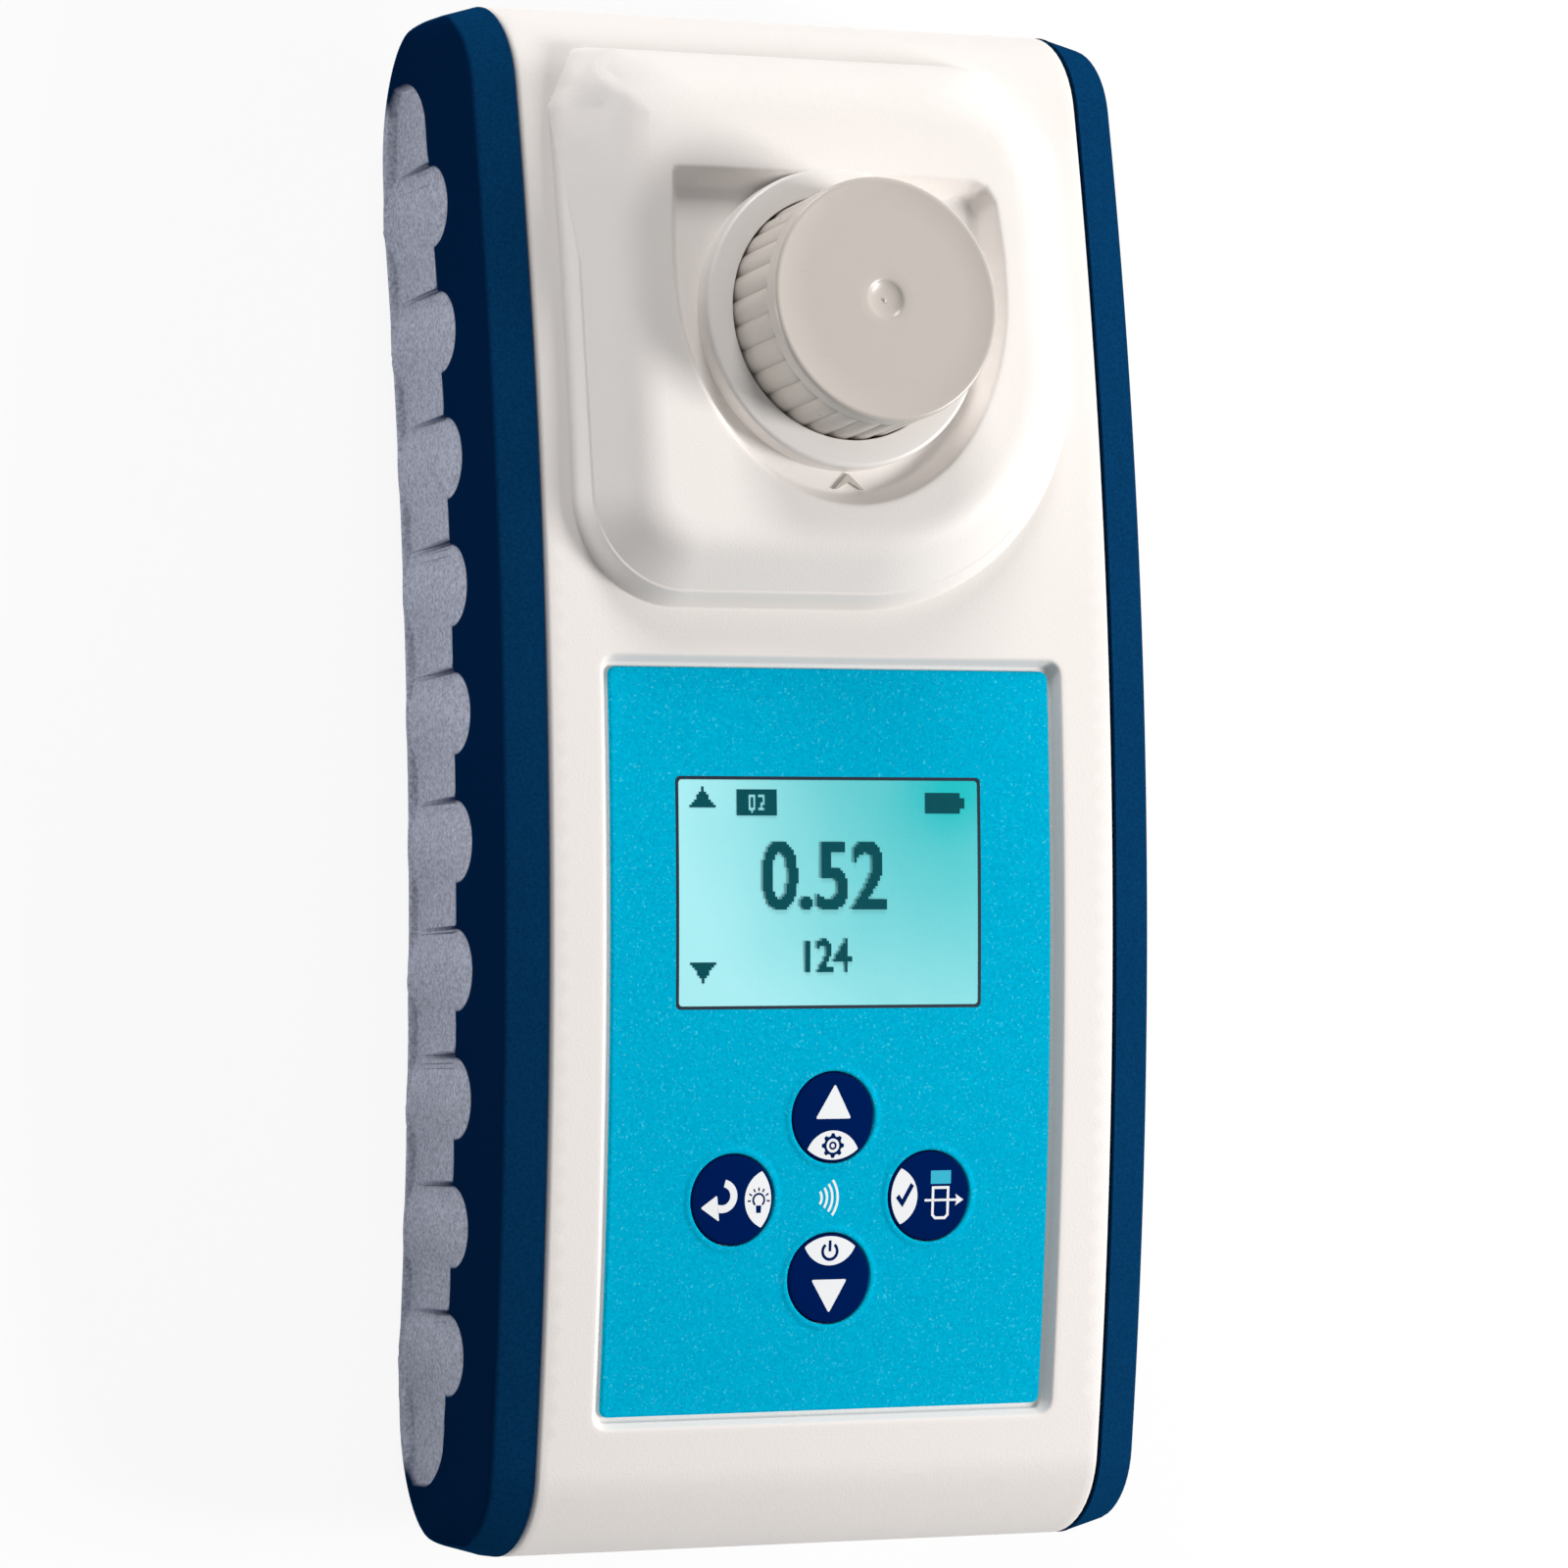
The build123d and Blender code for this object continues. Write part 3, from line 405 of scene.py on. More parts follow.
def circleLoop(centre, radius, count):
    return [
        (centre[0] + radius * cos(2 * pi * i / count), centre[1] + radius * sin(2 * pi * i / count))
        for i in range(count)
    ]


# Distance of each point to a closed loop, positive inside
def insetOf(points, loop):
    spots = np.asarray(points, float)
    starts = np.asarray(loop, float)
    ends = np.roll(starts, -1, axis=0)
    best = np.full(len(spots), 1e9)
    inside = np.zeros(len(spots), bool)
    for start, end in zip(starts, ends):
        run = end - start
        span = run @ run
        if span < 1e-12:
            continue
        share = np.clip(((spots - start) @ run) / span, 0, 1)
        gap = spots - start - share[:, None] * run
        best = np.minimum(best, gap[:, 0] ** 2 + gap[:, 1] ** 2)
        crosses = (start[1] > spots[:, 1]) != (end[1] > spots[:, 1])
        reach = start[0] + (spots[:, 1] - start[1]) * run[0] / (run[1] if run[1] else 1e-12)
        inside ^= crosses & (spots[:, 0] < reach)
    return np.where(inside, 1, -1) * np.sqrt(best)


# Triangles over the ground inside outer and outside holes, with the rows as edges and even ground between
def pave(outer, holes, rows, step, ground=()):
    loops = [outer] + list(holes) + list(rows)
    points, edges = [], []
    for loop in loops:
        first = len(points)
        points += [tuple(point) for point in loop]
        edges += [(first + i, first + (i + 1) % len(loop)) for i in range(len(loop))]
    tree = KDTree(len(points))
    for index, point in enumerate(points):
        tree.insert((point[0], point[1], 0), index)
    tree.balance()
    low, high = np.min(outer, axis=0), np.max(outer, axis=0)
    even = []
    for line, level in enumerate(np.arange(low[1] + step / 2, high[1], step * 0.87)):
        for place in np.arange(low[0] + step * (0.5 if line % 2 else 0.95), high[0], step):
            even.append((place, level))
    even = [spot for spot in even if tree.find((spot[0], spot[1], 0))[2] > step * 0.62]
    even = np.array(even).reshape(-1, 2)
    keep = insetOf(even, outer) > step * 0.4
    for hole in holes:
        keep &= insetOf(even, hole) < -0.05
    points += [tuple(spot) for spot in even[keep]] + [tuple(spot) for spot in ground]
    spots, _, triangles, _, _, _ = delaunay_2d_cdt(
        [Vector(point) for point in points], edges, [list(range(len(outer)))], 1, 1e-5
    )
    spots = np.array([tuple(spot) for spot in spots])
    middles = np.array([spots[list(face)].mean(0) for face in triangles])
    wanted = insetOf(middles, outer) > 0
    for hole in holes:
        wanted &= insetOf(middles, hole) < 0
    return spots, [tuple(face) for face, good in zip(triangles, wanted) if good]


# A closed piece from a top and a bottom that share their triangles, with walls along every border
def closedSkin(name, top, bottom, faces, finish, angle=35):
    used = sorted({index for face in faces for index in face})
    renumber = {old: new for new, old in enumerate(used)}
    top, bottom = top[used], bottom[used]
    faces = [tuple(renumber[index] for index in face) for face in faces]
    normal = np.zeros(3)
    for a, b, c in faces[:200]:
        normal += np.cross(top[b] - top[a], top[c] - top[a])
    outward = top[faces[0][0]] - bottom[faces[0][0]]
    for face in faces[:50]:
        outward = outward + (top[face[0]] - bottom[face[0]])
    if normal @ outward < 0:
        faces = [face[::-1] for face in faces]
    sides = {}
    for a, b, c in faces:
        for edge in ((a, b), (b, c), (c, a)):
            sides[edge] = True
    count = len(top)
    walls = [(b, a, a + count, b + count) for a, b in sides if (b, a) not in sides]
    under = [tuple(index + count for index in face[::-1]) for face in faces]
    piece = newPiece(name, np.vstack([top, bottom]), faces + under + walls, finish, None)
    shape = bmesh.new()
    shape.from_mesh(piece.data)
    bmesh.ops.remove_doubles(shape, verts=shape.verts, dist=2e-7)
    bmesh.ops.dissolve_degenerate(shape, dist=1e-7, edges=shape.edges)
    shape.to_mesh(piece.data)
    shape.free()
    piece.data.set_sharp_from_angle(angle=radians(angle))
    return piece


# Rings of points round the z axis with their quads; a profile point on the axis becomes a pole
def lathe(profile, count, closed=False):
    points, rings, faces = [], [], []
    for radius, height in profile:
        if radius < 1e-6:
            rings.append([len(points)])
            points.append((0, 0, height))
        else:
            rings.append(list(range(len(points), len(points) + count)))
            points += [
                (radius * cos(2 * pi * i / count), radius * sin(2 * pi * i / count), height)
                for i in range(count)
            ]
    pairs = list(zip(rings, rings[1:] + rings[:1])) if closed else list(zip(rings, rings[1:]))
    for lower, upper in pairs:
        for i in range(count):
            j = (i + 1) % count
            if len(lower) == 1:
                faces.append((lower[0], upper[j], upper[i]))
            elif len(upper) == 1:
                faces.append((lower[i], lower[j], upper[0]))
            else:
                faces.append((lower[i], lower[j], upper[j], upper[i]))
    return points, faces


def inChamber(points):
    return [tuple(chamberFrame @ Vector(point)) for point in points]


def smooth(value):
    value = np.clip(value, 0, 1)
    return value * value * (3 - 2 * value)


def softMin(first, second, blend):
    share = np.clip(0.5 + 0.5 * (second - first) / blend, 0, 1)
    return second * (1 - share) + first * share - blend * share * (1 - share)


def movedIn(loop, inset):
    points = np.asarray(loop, float)
    along = np.roll(points, -1, axis=0) - np.roll(points, 1, axis=0)
    along /= np.hypot(*along.T)[:, None]
    area = np.sum(points[:, 0] * np.roll(points[:, 1], -1) - points[:, 1] * np.roll(points[:, 0], -1))
    inward = np.stack([-along[:, 1], along[:, 0]], 1) * (1 if area > 0 else -1)
    return points + inward * inset


def tidyNormals(piece):
    shape = bmesh.new()
    shape.from_mesh(piece.data)
    bmesh.ops.remove_doubles(shape, verts=shape.verts, dist=2e-7)
    bmesh.ops.recalc_face_normals(shape, faces=shape.faces)
    shape.to_mesh(piece.data)
    shape.free()


# Camera at the photograph's place
view = {
    "place": (-339.81, -33.26, 700.66), "azimuth": 26.59, "rise": 2.47, "roll": -0.90,
    "focal": 7620.0, "photo": 1600.0, "sensor": 36.0,
}


def makeCamera():
    turn, rise, roll = (radians(view[key]) for key in ("azimuth", "rise", "roll"))
    ahead = Vector((sin(turn) * cos(rise), sin(rise), -cos(turn) * cos(rise)))
    right = ahead.cross(Vector((0, 1, 0))).normalized()
    up = right.cross(ahead)
    right, up = right * cos(roll) + up * sin(roll), up * cos(roll) - right * sin(roll)
    lens = bpy.data.cameras.new("photoCamera")
    lens.sensor_width = view["sensor"]
    lens.lens = view["focal"] / view["photo"] * view["sensor"]
    lens.clip_start, lens.clip_end = 0.05, 20.0
    camera = bpy.data.objects.new("photoCamera", lens)
    turned = Matrix((right, up, -ahead)).transposed()
    camera.matrix_world = Matrix.Translation(Vector(view["place"]) * mm) @ turned.to_4x4()
    bpy.context.scene.collection.objects.link(camera)
    bpy.context.scene.camera = camera


makeCamera()


# Side outline of the housing, as runs of (y, z) points
def archHeight(y, depth=0.0):
    return archCentre + sqrt((housing["frontRadius"] - depth) ** 2 - y * y)


# Half of the outline from mid length over the front corner down to the parting, as (y, z)
def frontProfile(step):
    corner, end = housing["frontCorner"], housing["halfLength"]
    centreY = end - corner
    centreZ = archCentre + sqrt((housing["frontRadius"] - corner) ** 2 - centreY ** 2)
    tangent = atan2(centreZ - archCentre, centreY)
    meet = housing["frontRadius"] * cos(tangent)
    points = [(y, archHeight(y)) for y in np.linspace(0, meet, ceil(meet / step))]
    points += arcPoints((centreY, centreZ), corner, tangent * 180 / pi, 0, step)[1:]
    rear = housing["rearCorner"]
    points += linePoints((end, centreZ), (end, rear), step)[1:]
    low = asin((housing["parting"] - rear) / rear) * 180 / pi
    points += arcPoints((end - rear, rear), rear, 0, low, step)
    return points


# The whole side outline as a closed loop of (y, z)
def outlineLoop(step):
    half = frontProfile(step)
    rear, land = housing["rearCorner"], housing["landStart"]
    end = housing["halfLength"] - rear
    low = asin((housing["parting"] - rear) / rear) * 180 / pi
    half += arcPoints((end, rear), rear, low, -90, step)[1:]
    half += linePoints((end, 0), (land, 0), step)[1:]
    crest = housing["rearCrest"]
    radius = (land ** 2 + crest ** 2) / (2 * crest)
    hollow = [
        (y, crest - radius + sqrt(radius ** 2 - y * y))
        for y in np.linspace(land, 0, ceil(land / step))
    ]
    half += hollow
    mirrored = [(-y, z) for y, z in half[::-1]]
    loop = half + mirrored[1:-1]
    return loop


# The arched front as a run along its outline: s is the distance from mid length
class Strip:
    def __init__(self):
        half = np.array(frontProfile(0.1))
        run = np.concatenate([[0], np.cumsum(np.hypot(*np.diff(half, axis=0).T))])
        along = np.gradient(half, run, axis=0)
        along /= np.hypot(*along.T)[:, None]
        self.run, self.half, self.out = run, half, np.stack([-along[:, 1], along[:, 0]], 1)
        self.length = run[-1]

    def at(self, s):
        away = np.abs(s)
        y = np.interp(away, self.run, self.half[:, 0]) * np.sign(s)
        z = np.interp(away, self.run, self.half[:, 1])
        outY = np.interp(away, self.run, self.out[:, 0]) * np.sign(s)
        outZ = np.interp(away, self.run, self.out[:, 1])
        return y, z, outY, outZ

    def place(self, spots, height):
        y, z, outY, outZ = self.at(spots[:, 1])
        return np.stack([spots[:, 0], y + outY * height, z + outZ * height], 1)


strip = Strip()


def runAt(y):
    return housing["frontRadius"] * asin(y / housing["frontRadius"])


chamberRun = runAt(chamberY)

# Front shell: the pod, the recess round the chamber and the recess of the label
pod = {
    # each side of the outline as the direction that it faces, its distance, and the corner that follows it
    "sides": [
        (0, 28.6, 4.0), (43.5, 34.73, 4.0), (90, 28.3, 1.2), (152.1, 35.44, 1.2), (180, 28.6, 11.0),
        (270, 28.7, 26.0),
    ],
    "section": [(-1.2, 0), (0.1, 0), (1.34, 1.76), (1.58, 1.79), (5.8, 5.6), (8.3, 5.6)],
    "cuts": (0.12, 0.12, 0.1, 2.2), "ledge": 1.46, "ledgeHeight": 1.775, "fade": (6.0, 21.5),
}
recess = {
    "halfX": 18.7, "head": 14.6, "shoulder": 7.0, "headHalf": 18.2, "middle": 4.0, "deep": 22.8,
    "section": [(-0.8, 0), (0, 0), (1.37, -2.2), (2.4, -2.2)], "cuts": (0.35, 0.4), "hole": 13.25,
}
labelSpot = {
    "halfX": 24.7, "halfY": 37.4, "y": -26.8, "gap": 1.1, "corner": 0.8, "depth": 1.2, "thick": 0.4,
    "edge": 0.12, "edgeDrop": 0.8,
    "section": [(-0.7, 0), (0, 0), (0.62, -1.2), (1.0, -1.2)], "cuts": (0.3, 0.22), "recessCorner": 1.5,
}
windowSpot = {"halfX": 17.15, "halfY": 11.65, "x": -0.5, "y": -11.95, "rim": 0.7}
keySpots = {
    "key_up": (0, -34.5), "key_left": (-11.05, -42.6), "key_right": (11.05, -42.6), "key_down": (0, -50.7),
}
keyHole = 4.65


# Outline of the recess in the chamber's plane, moved inwards
def shieldLoop(inset, step=0.8):
    half, head = recess["halfX"] - inset, recess["head"] - inset
    headHalf = recess["headHalf"] - inset * 0.85
    middle, deep = recess["middle"], recess["deep"] - inset
    lower = []
    for turn in np.linspace(0, -180, ceil(60 / step)):
        lower.append((half * cos(radians(turn)), middle + deep * sin(radians(turn))))
    corners = [(half, recess["shoulder"])] + lower + [(-half, recess["shoulder"])]
    corners += [
        (-headHalf, head - 0.4), (-headHalf + 0.4, head), (headHalf - 2.6, head),
        (headHalf - 0.9, head - 0.7), (headHalf, head - 2.2),
    ]
    return spaced(corners, step)


# Outline of the pod in the chamber's plane, moved inwards
def podLoop(inset, step=0.9):
    sides, corners = pod["sides"], []
    for (facing, away, bend), (after, reach, _) in zip(sides, sides[1:] + sides[:1]):
        radius = max(bend - inset, 0.6)
        first, second = away - inset - radius, reach - inset - radius
        a, b = radians(facing), radians(after)
        turn = sin(b - a)
        middle = ((first * sin(b) - second * sin(a)) / turn, (second * cos(a) - first * cos(b)) / turn)
        corners += arcPoints(
            middle, radius, facing, after if after > facing else after + 360, min(step, radius * 0.4),
        )
    return spaced(corners, step)


# Share of the pod's wall that is left: it runs out towards the +Y end
def wallShare(along):
    low, high = pod["fade"]
    return np.clip((high - along) / (high - low), 0.05, 1)


def wallRow(inset):
    loop = np.array(podLoop(0))
    inward = movedIn(loop, 1.0) - loop
    return (loop + inward * (inset * wallShare(loop[:, 1]))[:, None]).tolist()


# Distance inside the pod's outline, where the creases of the flat corners soften inwards
def podInset(spots):
    inside = insetOf(spots, podLoop(0))
    gaps = [
        away - spots @ np.array([cos(radians(facing)), sin(radians(facing))])
        for facing, away, _ in pod["sides"]
    ]
    blend = np.clip(inside * 1.3, 0.05, 6.0)
    for first, second in zip(gaps[:4], gaps[1:5]):
        inside = np.where(inside > 0, np.minimum(inside, softMin(first, second, blend)), inside)
    return inside


# Height over the pod's base
def podHeight(inPod, along):
    sections = softSection(pod["section"], pod["cuts"])
    wall = np.interp(inPod, *zip(*sections))
    share = wallShare(along)
    ledge, ledgeHeight, last = pod["ledge"], pod["ledgeHeight"], pod["section"][-1]
    below = np.interp(np.minimum(inPod / share, ledge), *zip(*sections)) * share
    reach = ledge + np.clip((inPod - ledge * share) / (last[0] - ledge * share), 0, 1) * (last[0] - ledge)
    slope = (np.interp(reach, *zip(*sections)) - ledgeHeight) / (last[1] - ledgeHeight)
    above = ledgeHeight * share + slope * (last[1] - ledgeHeight * share)
    faded = np.where(inPod < ledge * share, below, above)
    return np.where((share >= 1) | (inPod <= 0), wall, faded)


def shifted(loop, x, y):
    return [(point[0] + x, point[1] + y) for point in loop]


def makeFrontShell():
    side, length, rounding = housing["shellHalf"], strip.length, 0.5
    podRows = softSection(pod["section"], pod["cuts"])
    recessRows = softSection(recess["section"], recess["cuts"], 4)
    labelRows = softSection(labelSpot["section"], labelSpot["cuts"], 4)
    centreRun = runAt(labelSpot["y"])
    rows = []
    for inset in sorted([inset for inset, _ in podRows] + [0.45, 0.9]):
        row = wallRow(inset) if 0 < inset < pod["ledge"] + 0.2 else podLoop(inset)
        rows.append(shifted(row, 0, chamberRun))
    for inset, _ in recessRows:
        rows.append(shifted(shieldLoop(inset), 0, chamberRun))
    edgeX, edgeY = labelSpot["halfX"] + labelSpot["gap"], labelSpot["halfY"] + labelSpot["gap"]
    for inset, _ in labelRows:
        rows.append(
            roundedBox((0, centreRun), edgeX - inset, edgeY - inset, labelSpot["recessCorner"] - inset, 1.4)
        )
    for inset in (0.06, 0.15, 0.28, 0.5):
        rows.append(spaced([(-side + inset, -length + inset), (side - inset, -length + inset),
                            (side - inset, length - inset), (-side + inset, length - inset)], 1.3))
    outer = spaced([(-side, -length), (side, -length), (side, length), (-side, length)], 1.3)
    holes = [shifted(circleLoop((0, 0), recess["hole"], 96), 0, chamberRun)]
    holes += [circleLoop((x, runAt(y)), keyHole, 40) for x, y in keySpots.values()]
    rim = windowSpot["rim"]
    holes.append(
        roundedBox(
            (windowSpot["x"], runAt(windowSpot["y"])), windowSpot["halfX"] - rim, windowSpot["halfY"] - rim,
            0.3, 1.5,
        )
    )
    endRows = []
    for sign in (-1, 1):
        for run in np.arange(66.5, length - 0.6, 0.9):
            endRows += [(x, sign * run) for x in np.arange(-side + 1.2, side - 0.6, 1.6)]
    spots, faces = pave(outer, holes, rows, 1.5, endRows)
    inPod = podInset(spots - np.array([0, chamberRun]))
    inRecess = insetOf(spots, shifted(shieldLoop(0), 0, chamberRun))
    inLabel = insetOf(spots, roundedBox((0, centreRun), edgeX, edgeY, labelSpot["recessCorner"], 0.5))
    y, z, outY, outZ = strip.at(spots[:, 1])
    toPlane = (
        (archFoot.y - y) * leanUp.y + (archFoot.z - z) * leanUp.z
    ) / (outY * leanUp.y + outZ * leanUp.z)
    height = podHeight(inPod, spots[:, 1] - chamberRun) + np.clip(toPlane, 0, 4) * smooth(inPod / 1.38)
    height += np.interp(inRecess, *zip(*recessRows)) + np.interp(inLabel, *zip(*labelRows))
    edge = np.minimum(side - np.abs(spots[:, 0]), length - np.abs(spots[:, 1]))
    lost = np.clip(rounding - edge, 0, rounding)
    height -= rounding - np.sqrt(rounding ** 2 - lost ** 2)
    top = strip.place(spots, height)
    floor = np.where(inPod > 2.5, 3.2, 0) - housing["wall"]
    bottom = strip.place(spots * np.array([(side - 0.4) / side, 1]), np.minimum(height - 0.9, floor))
    piece = closedSkin("frontShell", top, bottom, faces, "shellWhite", 40)
    return seat(piece, "housing", "shell_white", "front_shell")


makeFrontShell()
print("front shell made")

# Side panels: bevelled band, leaning side with a pocket, and finger bumps in it
panel = {
    "bevel": 1.1, "crease": 0.55, "planCorner": 3.4, "slope": 0.12, "slopeRun": 3.2, "drop": 12.9,
    "depth": 0.9, "end": 71.0, "corner": 8.0, "rim": 1.3, "creaseRise": 0.8, "step": 1.3,
    "bumps": 10, "pitch": 12.8, "bumpWidth": 7.8, "bumpSink": 0.05, "join": 0.5,
    "socket": 0.2, "socketWall": 0.9, "socketShare": 0.4, "socketEdge": 0.45, "clear": 0.005,
    # where each paint begins and how far it fades, in mm; the grip paint carries painted sheen and the flank
    # paint carries painted shade
    "gripPaint": (-0.05, 0.5), "creasePaint": (0.9, 1.6), "flankShadePaint": (0.95, 0.35),
}
bumpHeight = panel["depth"] - panel["bumpSink"]
bumpRadius = (panel["bumpWidth"] ** 2 / 4 + bumpHeight ** 2) / (2 * bumpHeight)
bumpSpots = [(number - (panel["bumps"] - 1) / 2) * panel["pitch"] for number in range(panel["bumps"])]


# Outline of the pocket as (y, z): the crease in front, round ends and the rim along the rear
def gripLoop(raised=0.0, rim=0.0):
    end, corner, land = panel["end"], panel["corner"], housing["landStart"]
    straight = end - corner
    crest = [(y, archHeight(y, panel["drop"]) + raised) for y in np.linspace(-straight, straight, 90)]
    level = archHeight(straight, panel["drop"]) + raised - corner
    right = arcPoints((straight, level), corner, 82, 0, 0.8)
    low = housing["rearCorner"] - sqrt(
        housing["rearCorner"] ** 2 - (end - housing["halfLength"] + housing["rearCorner"]) ** 2
    ) + rim
    rear = [(y, housing["rearCrest"] * (1 - (y / land) ** 2) + rim) for y in np.linspace(land, -land, 70)]
    loop = crest + right[1:] + [(end, low + 2.0), (end - 1.2, low)] + rear + [
        (1.2 - end, low), (-end, low + 2.0),
    ]
    return loop + [(-y, z) for y, z in right[:0:-1]]


# Distance below the crease, seen from the side
def creaseGap(y, z):
    return np.array([archHeight(value, panel["drop"]) for value in np.clip(y, -78, 78)]) - z


def fading(distance, begin, width):
    return smooth((distance - begin) / width)


# Distance from a bump's middle line, which ends in a round head at the crease
def bumpAway(y, z, place):
    return np.hypot(y - place, np.clip(z - archHeight(place, panel["drop"]), 0, None))


def bumpLoop(place, reach):
    top = archHeight(place, panel["drop"])
    points = arcPoints((place, top), reach, 0, 180, 0.5)
    return points + linePoints(
        (place - reach, top), (place - reach, -2), 0.9,
    ) + [(place - reach, -2), (place + reach, -2)]


def makePanel(name, side, node):
    outline = outlineLoop(1.1)
    bandRows = softSection(
        [
            (0, housing["panelInner"]), (0.12, housing["panelInner"] + 0.35),
            (panel["bevel"], housing["halfWidth"]), (4, housing["halfWidth"]),
        ],
        (0.05, panel["crease"]), 6,
    )
    rows = [movedIn(outline, inset).tolist() for inset, _ in bandRows[1:-1] if inset > 0.02]
    grip = spaced([tuple(point) for point in gripLoop(panel["creaseRise"], panel["rim"])], 1.0)
    for inset in (-0.05, 0.12, 0.28, 0.45):
        rows.append(movedIn(grip, inset).tolist())
    half = panel["bumpWidth"] / 2
    for place in bumpSpots:
        rows += [bumpLoop(place, half + more) for more in (0.55, 0.25, 0.0, -0.3, -0.8, -1.5, -2.4, -3.2)]
    spots, faces = pave(outline, [], rows, panel["step"])
    y, z = spots[:, 0], spots[:, 1]
    depth = np.interp(insetOf(spots, outline), *zip(*bandRows))
    plan = panel["planCorner"]
    beyond = np.clip(np.abs(y) - (housing["halfLength"] - plan), 0, plan - 0.01)
    depth = softMin(depth, housing["halfWidth"] - plan + np.sqrt(plan ** 2 - beyond ** 2), 0.02)
    creaseAway = creaseGap(y, z)
    most = housing["halfWidth"] - panel["clear"]
    leaning = housing["halfWidth"] - creaseAway * panel["slope"]
    depth = softMin(depth, leaning, 0.3)
    pocket = fading(insetOf(spots, grip), *panel["gripPaint"]) * fading(creaseAway, -0.6, panel["slopeRun"])
    bumps = np.full(len(spots), -1e3)
    sockets = np.zeros(len(spots))
    for place in bumpSpots:
        away = bumpAway(y, z, place)
        near = away < half + 1.5
        dome = leaning - panel["bumpSink"] - bumpRadius + np.sqrt(
            np.clip(bumpRadius ** 2 - away ** 2, 0, None)
        )
        dome = np.minimum(dome, np.minimum(depth + 0.03, most))
        bumps = np.where(near, np.maximum(bumps, dome), bumps)
        sockets = np.maximum(
            sockets, smooth((half + panel["socket"] + panel["socketWall"] / 2 - away) / panel["socketWall"]),
        )
    sockets *= fading(insetOf(spots, outline), panel["rim"], panel["socketEdge"]) * panel["socketShare"]
    floor = np.minimum(depth, leaning - panel["depth"])
    surface = depth + (floor - depth) * np.maximum(pocket, sockets)
    surface = np.where(bumps > -100, -softMin(-surface, -bumps, panel["join"]), surface)
    surface = np.clip(surface, housing["panelInner"], most)
    top = np.stack([side * surface, y, z], 1)
    bottom = np.stack([np.full(len(spots), side * housing["panelInner"]), y, z], 1)
    piece = closedSkin(name, top, bottom, faces, "panelNavy", 50)
    mark = piece.data.attributes.new("grip", "FLOAT", "POINT")
    flank = piece.data.attributes.new("flank", "FLOAT", "POINT")
    where = np.array([vertex.co[:] for vertex in piece.data.vertices]) / mm
    creaseAway = creaseGap(where[:, 1], where[:, 2])
    edgeAway = insetOf(where[:, 1:], outline)
    # Grip paint mask: the grip rubber's own lighter tone with painted sheen, over the pocket, along the rear
    # rim and on the bumps.
    rear = smooth((panel["end"] - 1.0 - np.abs(where[:, 1])) / 2) * smooth(
        (panel["rim"] + 0.8 + 2.2 * smooth((np.abs(where[:, 1]) - 54) / 6) - edgeAway) / 0.4
    )
    rubberAndSheen = np.maximum(fading(insetOf(where[:, 1:], grip), *panel["gripPaint"]), rear)
    rubberAndSheen = rubberAndSheen * fading(creaseAway, *panel["creasePaint"])
    for place in bumpSpots:
        rubberAndSheen = np.maximum(rubberAndSheen, smooth((half + 0.25 - bumpAway(where[:, 1], where[:, 2], place)) / 0.35))
    mark.data.foreach_set("value", rubberAndSheen.astype(np.float32))
    # Painted shade: marks the side face beyond the bevelled band for the darker navy.
    flank.data.foreach_set("value", fading(edgeAway, *panel["flankShadePaint"]).astype(np.float32))
    return seat(piece, "housing", "panel_navy", node)


makePanel("rightPanel", 1, "right_grip")
makePanel("leftPanel", -1, "left_grip")
print("side panels made")


# Label film with the raised rings round its keys
def makeLabel():
    centreRun = runAt(labelSpot["y"])
    outer = roundedBox((0, centreRun), labelSpot["halfX"], labelSpot["halfY"], labelSpot["corner"], 1.5)
    holes = [circleLoop((x, runAt(y)), keyHole, 72) for x, y in keySpots.values()]
    holes.append(
        roundedBox(
            (windowSpot["x"], runAt(windowSpot["y"])), windowSpot["halfX"], windowSpot["halfY"], 0.5, 1.5,
        )
    )
    ringRows = softSection(
        [(0, -0.02), (0.14, 0.1), (0.42, 0.1), (0.8, 0.0), (1.2, 0.0)], (0.06, 0.1, 0.15), 3,
    )
    rows = [
        circleLoop((x, runAt(y)), keyHole + out, 72)
        for x, y in keySpots.values() for out, _ in ringRows[1:]
    ]
    for inset in (0.05, 0.12, 0.3):
        rows.append(
            roundedBox(
                (0, centreRun), labelSpot["halfX"] - inset, labelSpot["halfY"] - inset,
                labelSpot["corner"] - inset, 1.5,
            )
        )
    spots, faces = pave(outer, holes, rows, 1.6)
    height = np.full(len(spots), labelSpot["thick"] - labelSpot["depth"])
    for x, y in keySpots.values():
        away = np.hypot(spots[:, 0] - x, spots[:, 1] - runAt(y)) - keyHole
        height += np.interp(away, *zip(*ringRows))
    edge = labelSpot["edge"]
    height -= np.clip(edge - insetOf(spots, outer), 0, edge) * labelSpot["edgeDrop"]
    top = strip.place(spots, height)
    bottom = strip.place(spots, np.full(len(spots), -labelSpot["depth"]))
    piece = closedSkin("labelFilm", top, bottom, faces, "labelFilm", 50)
    return seat(piece, "housing", "label_turquoise", "keypad_label")


makeLabel()


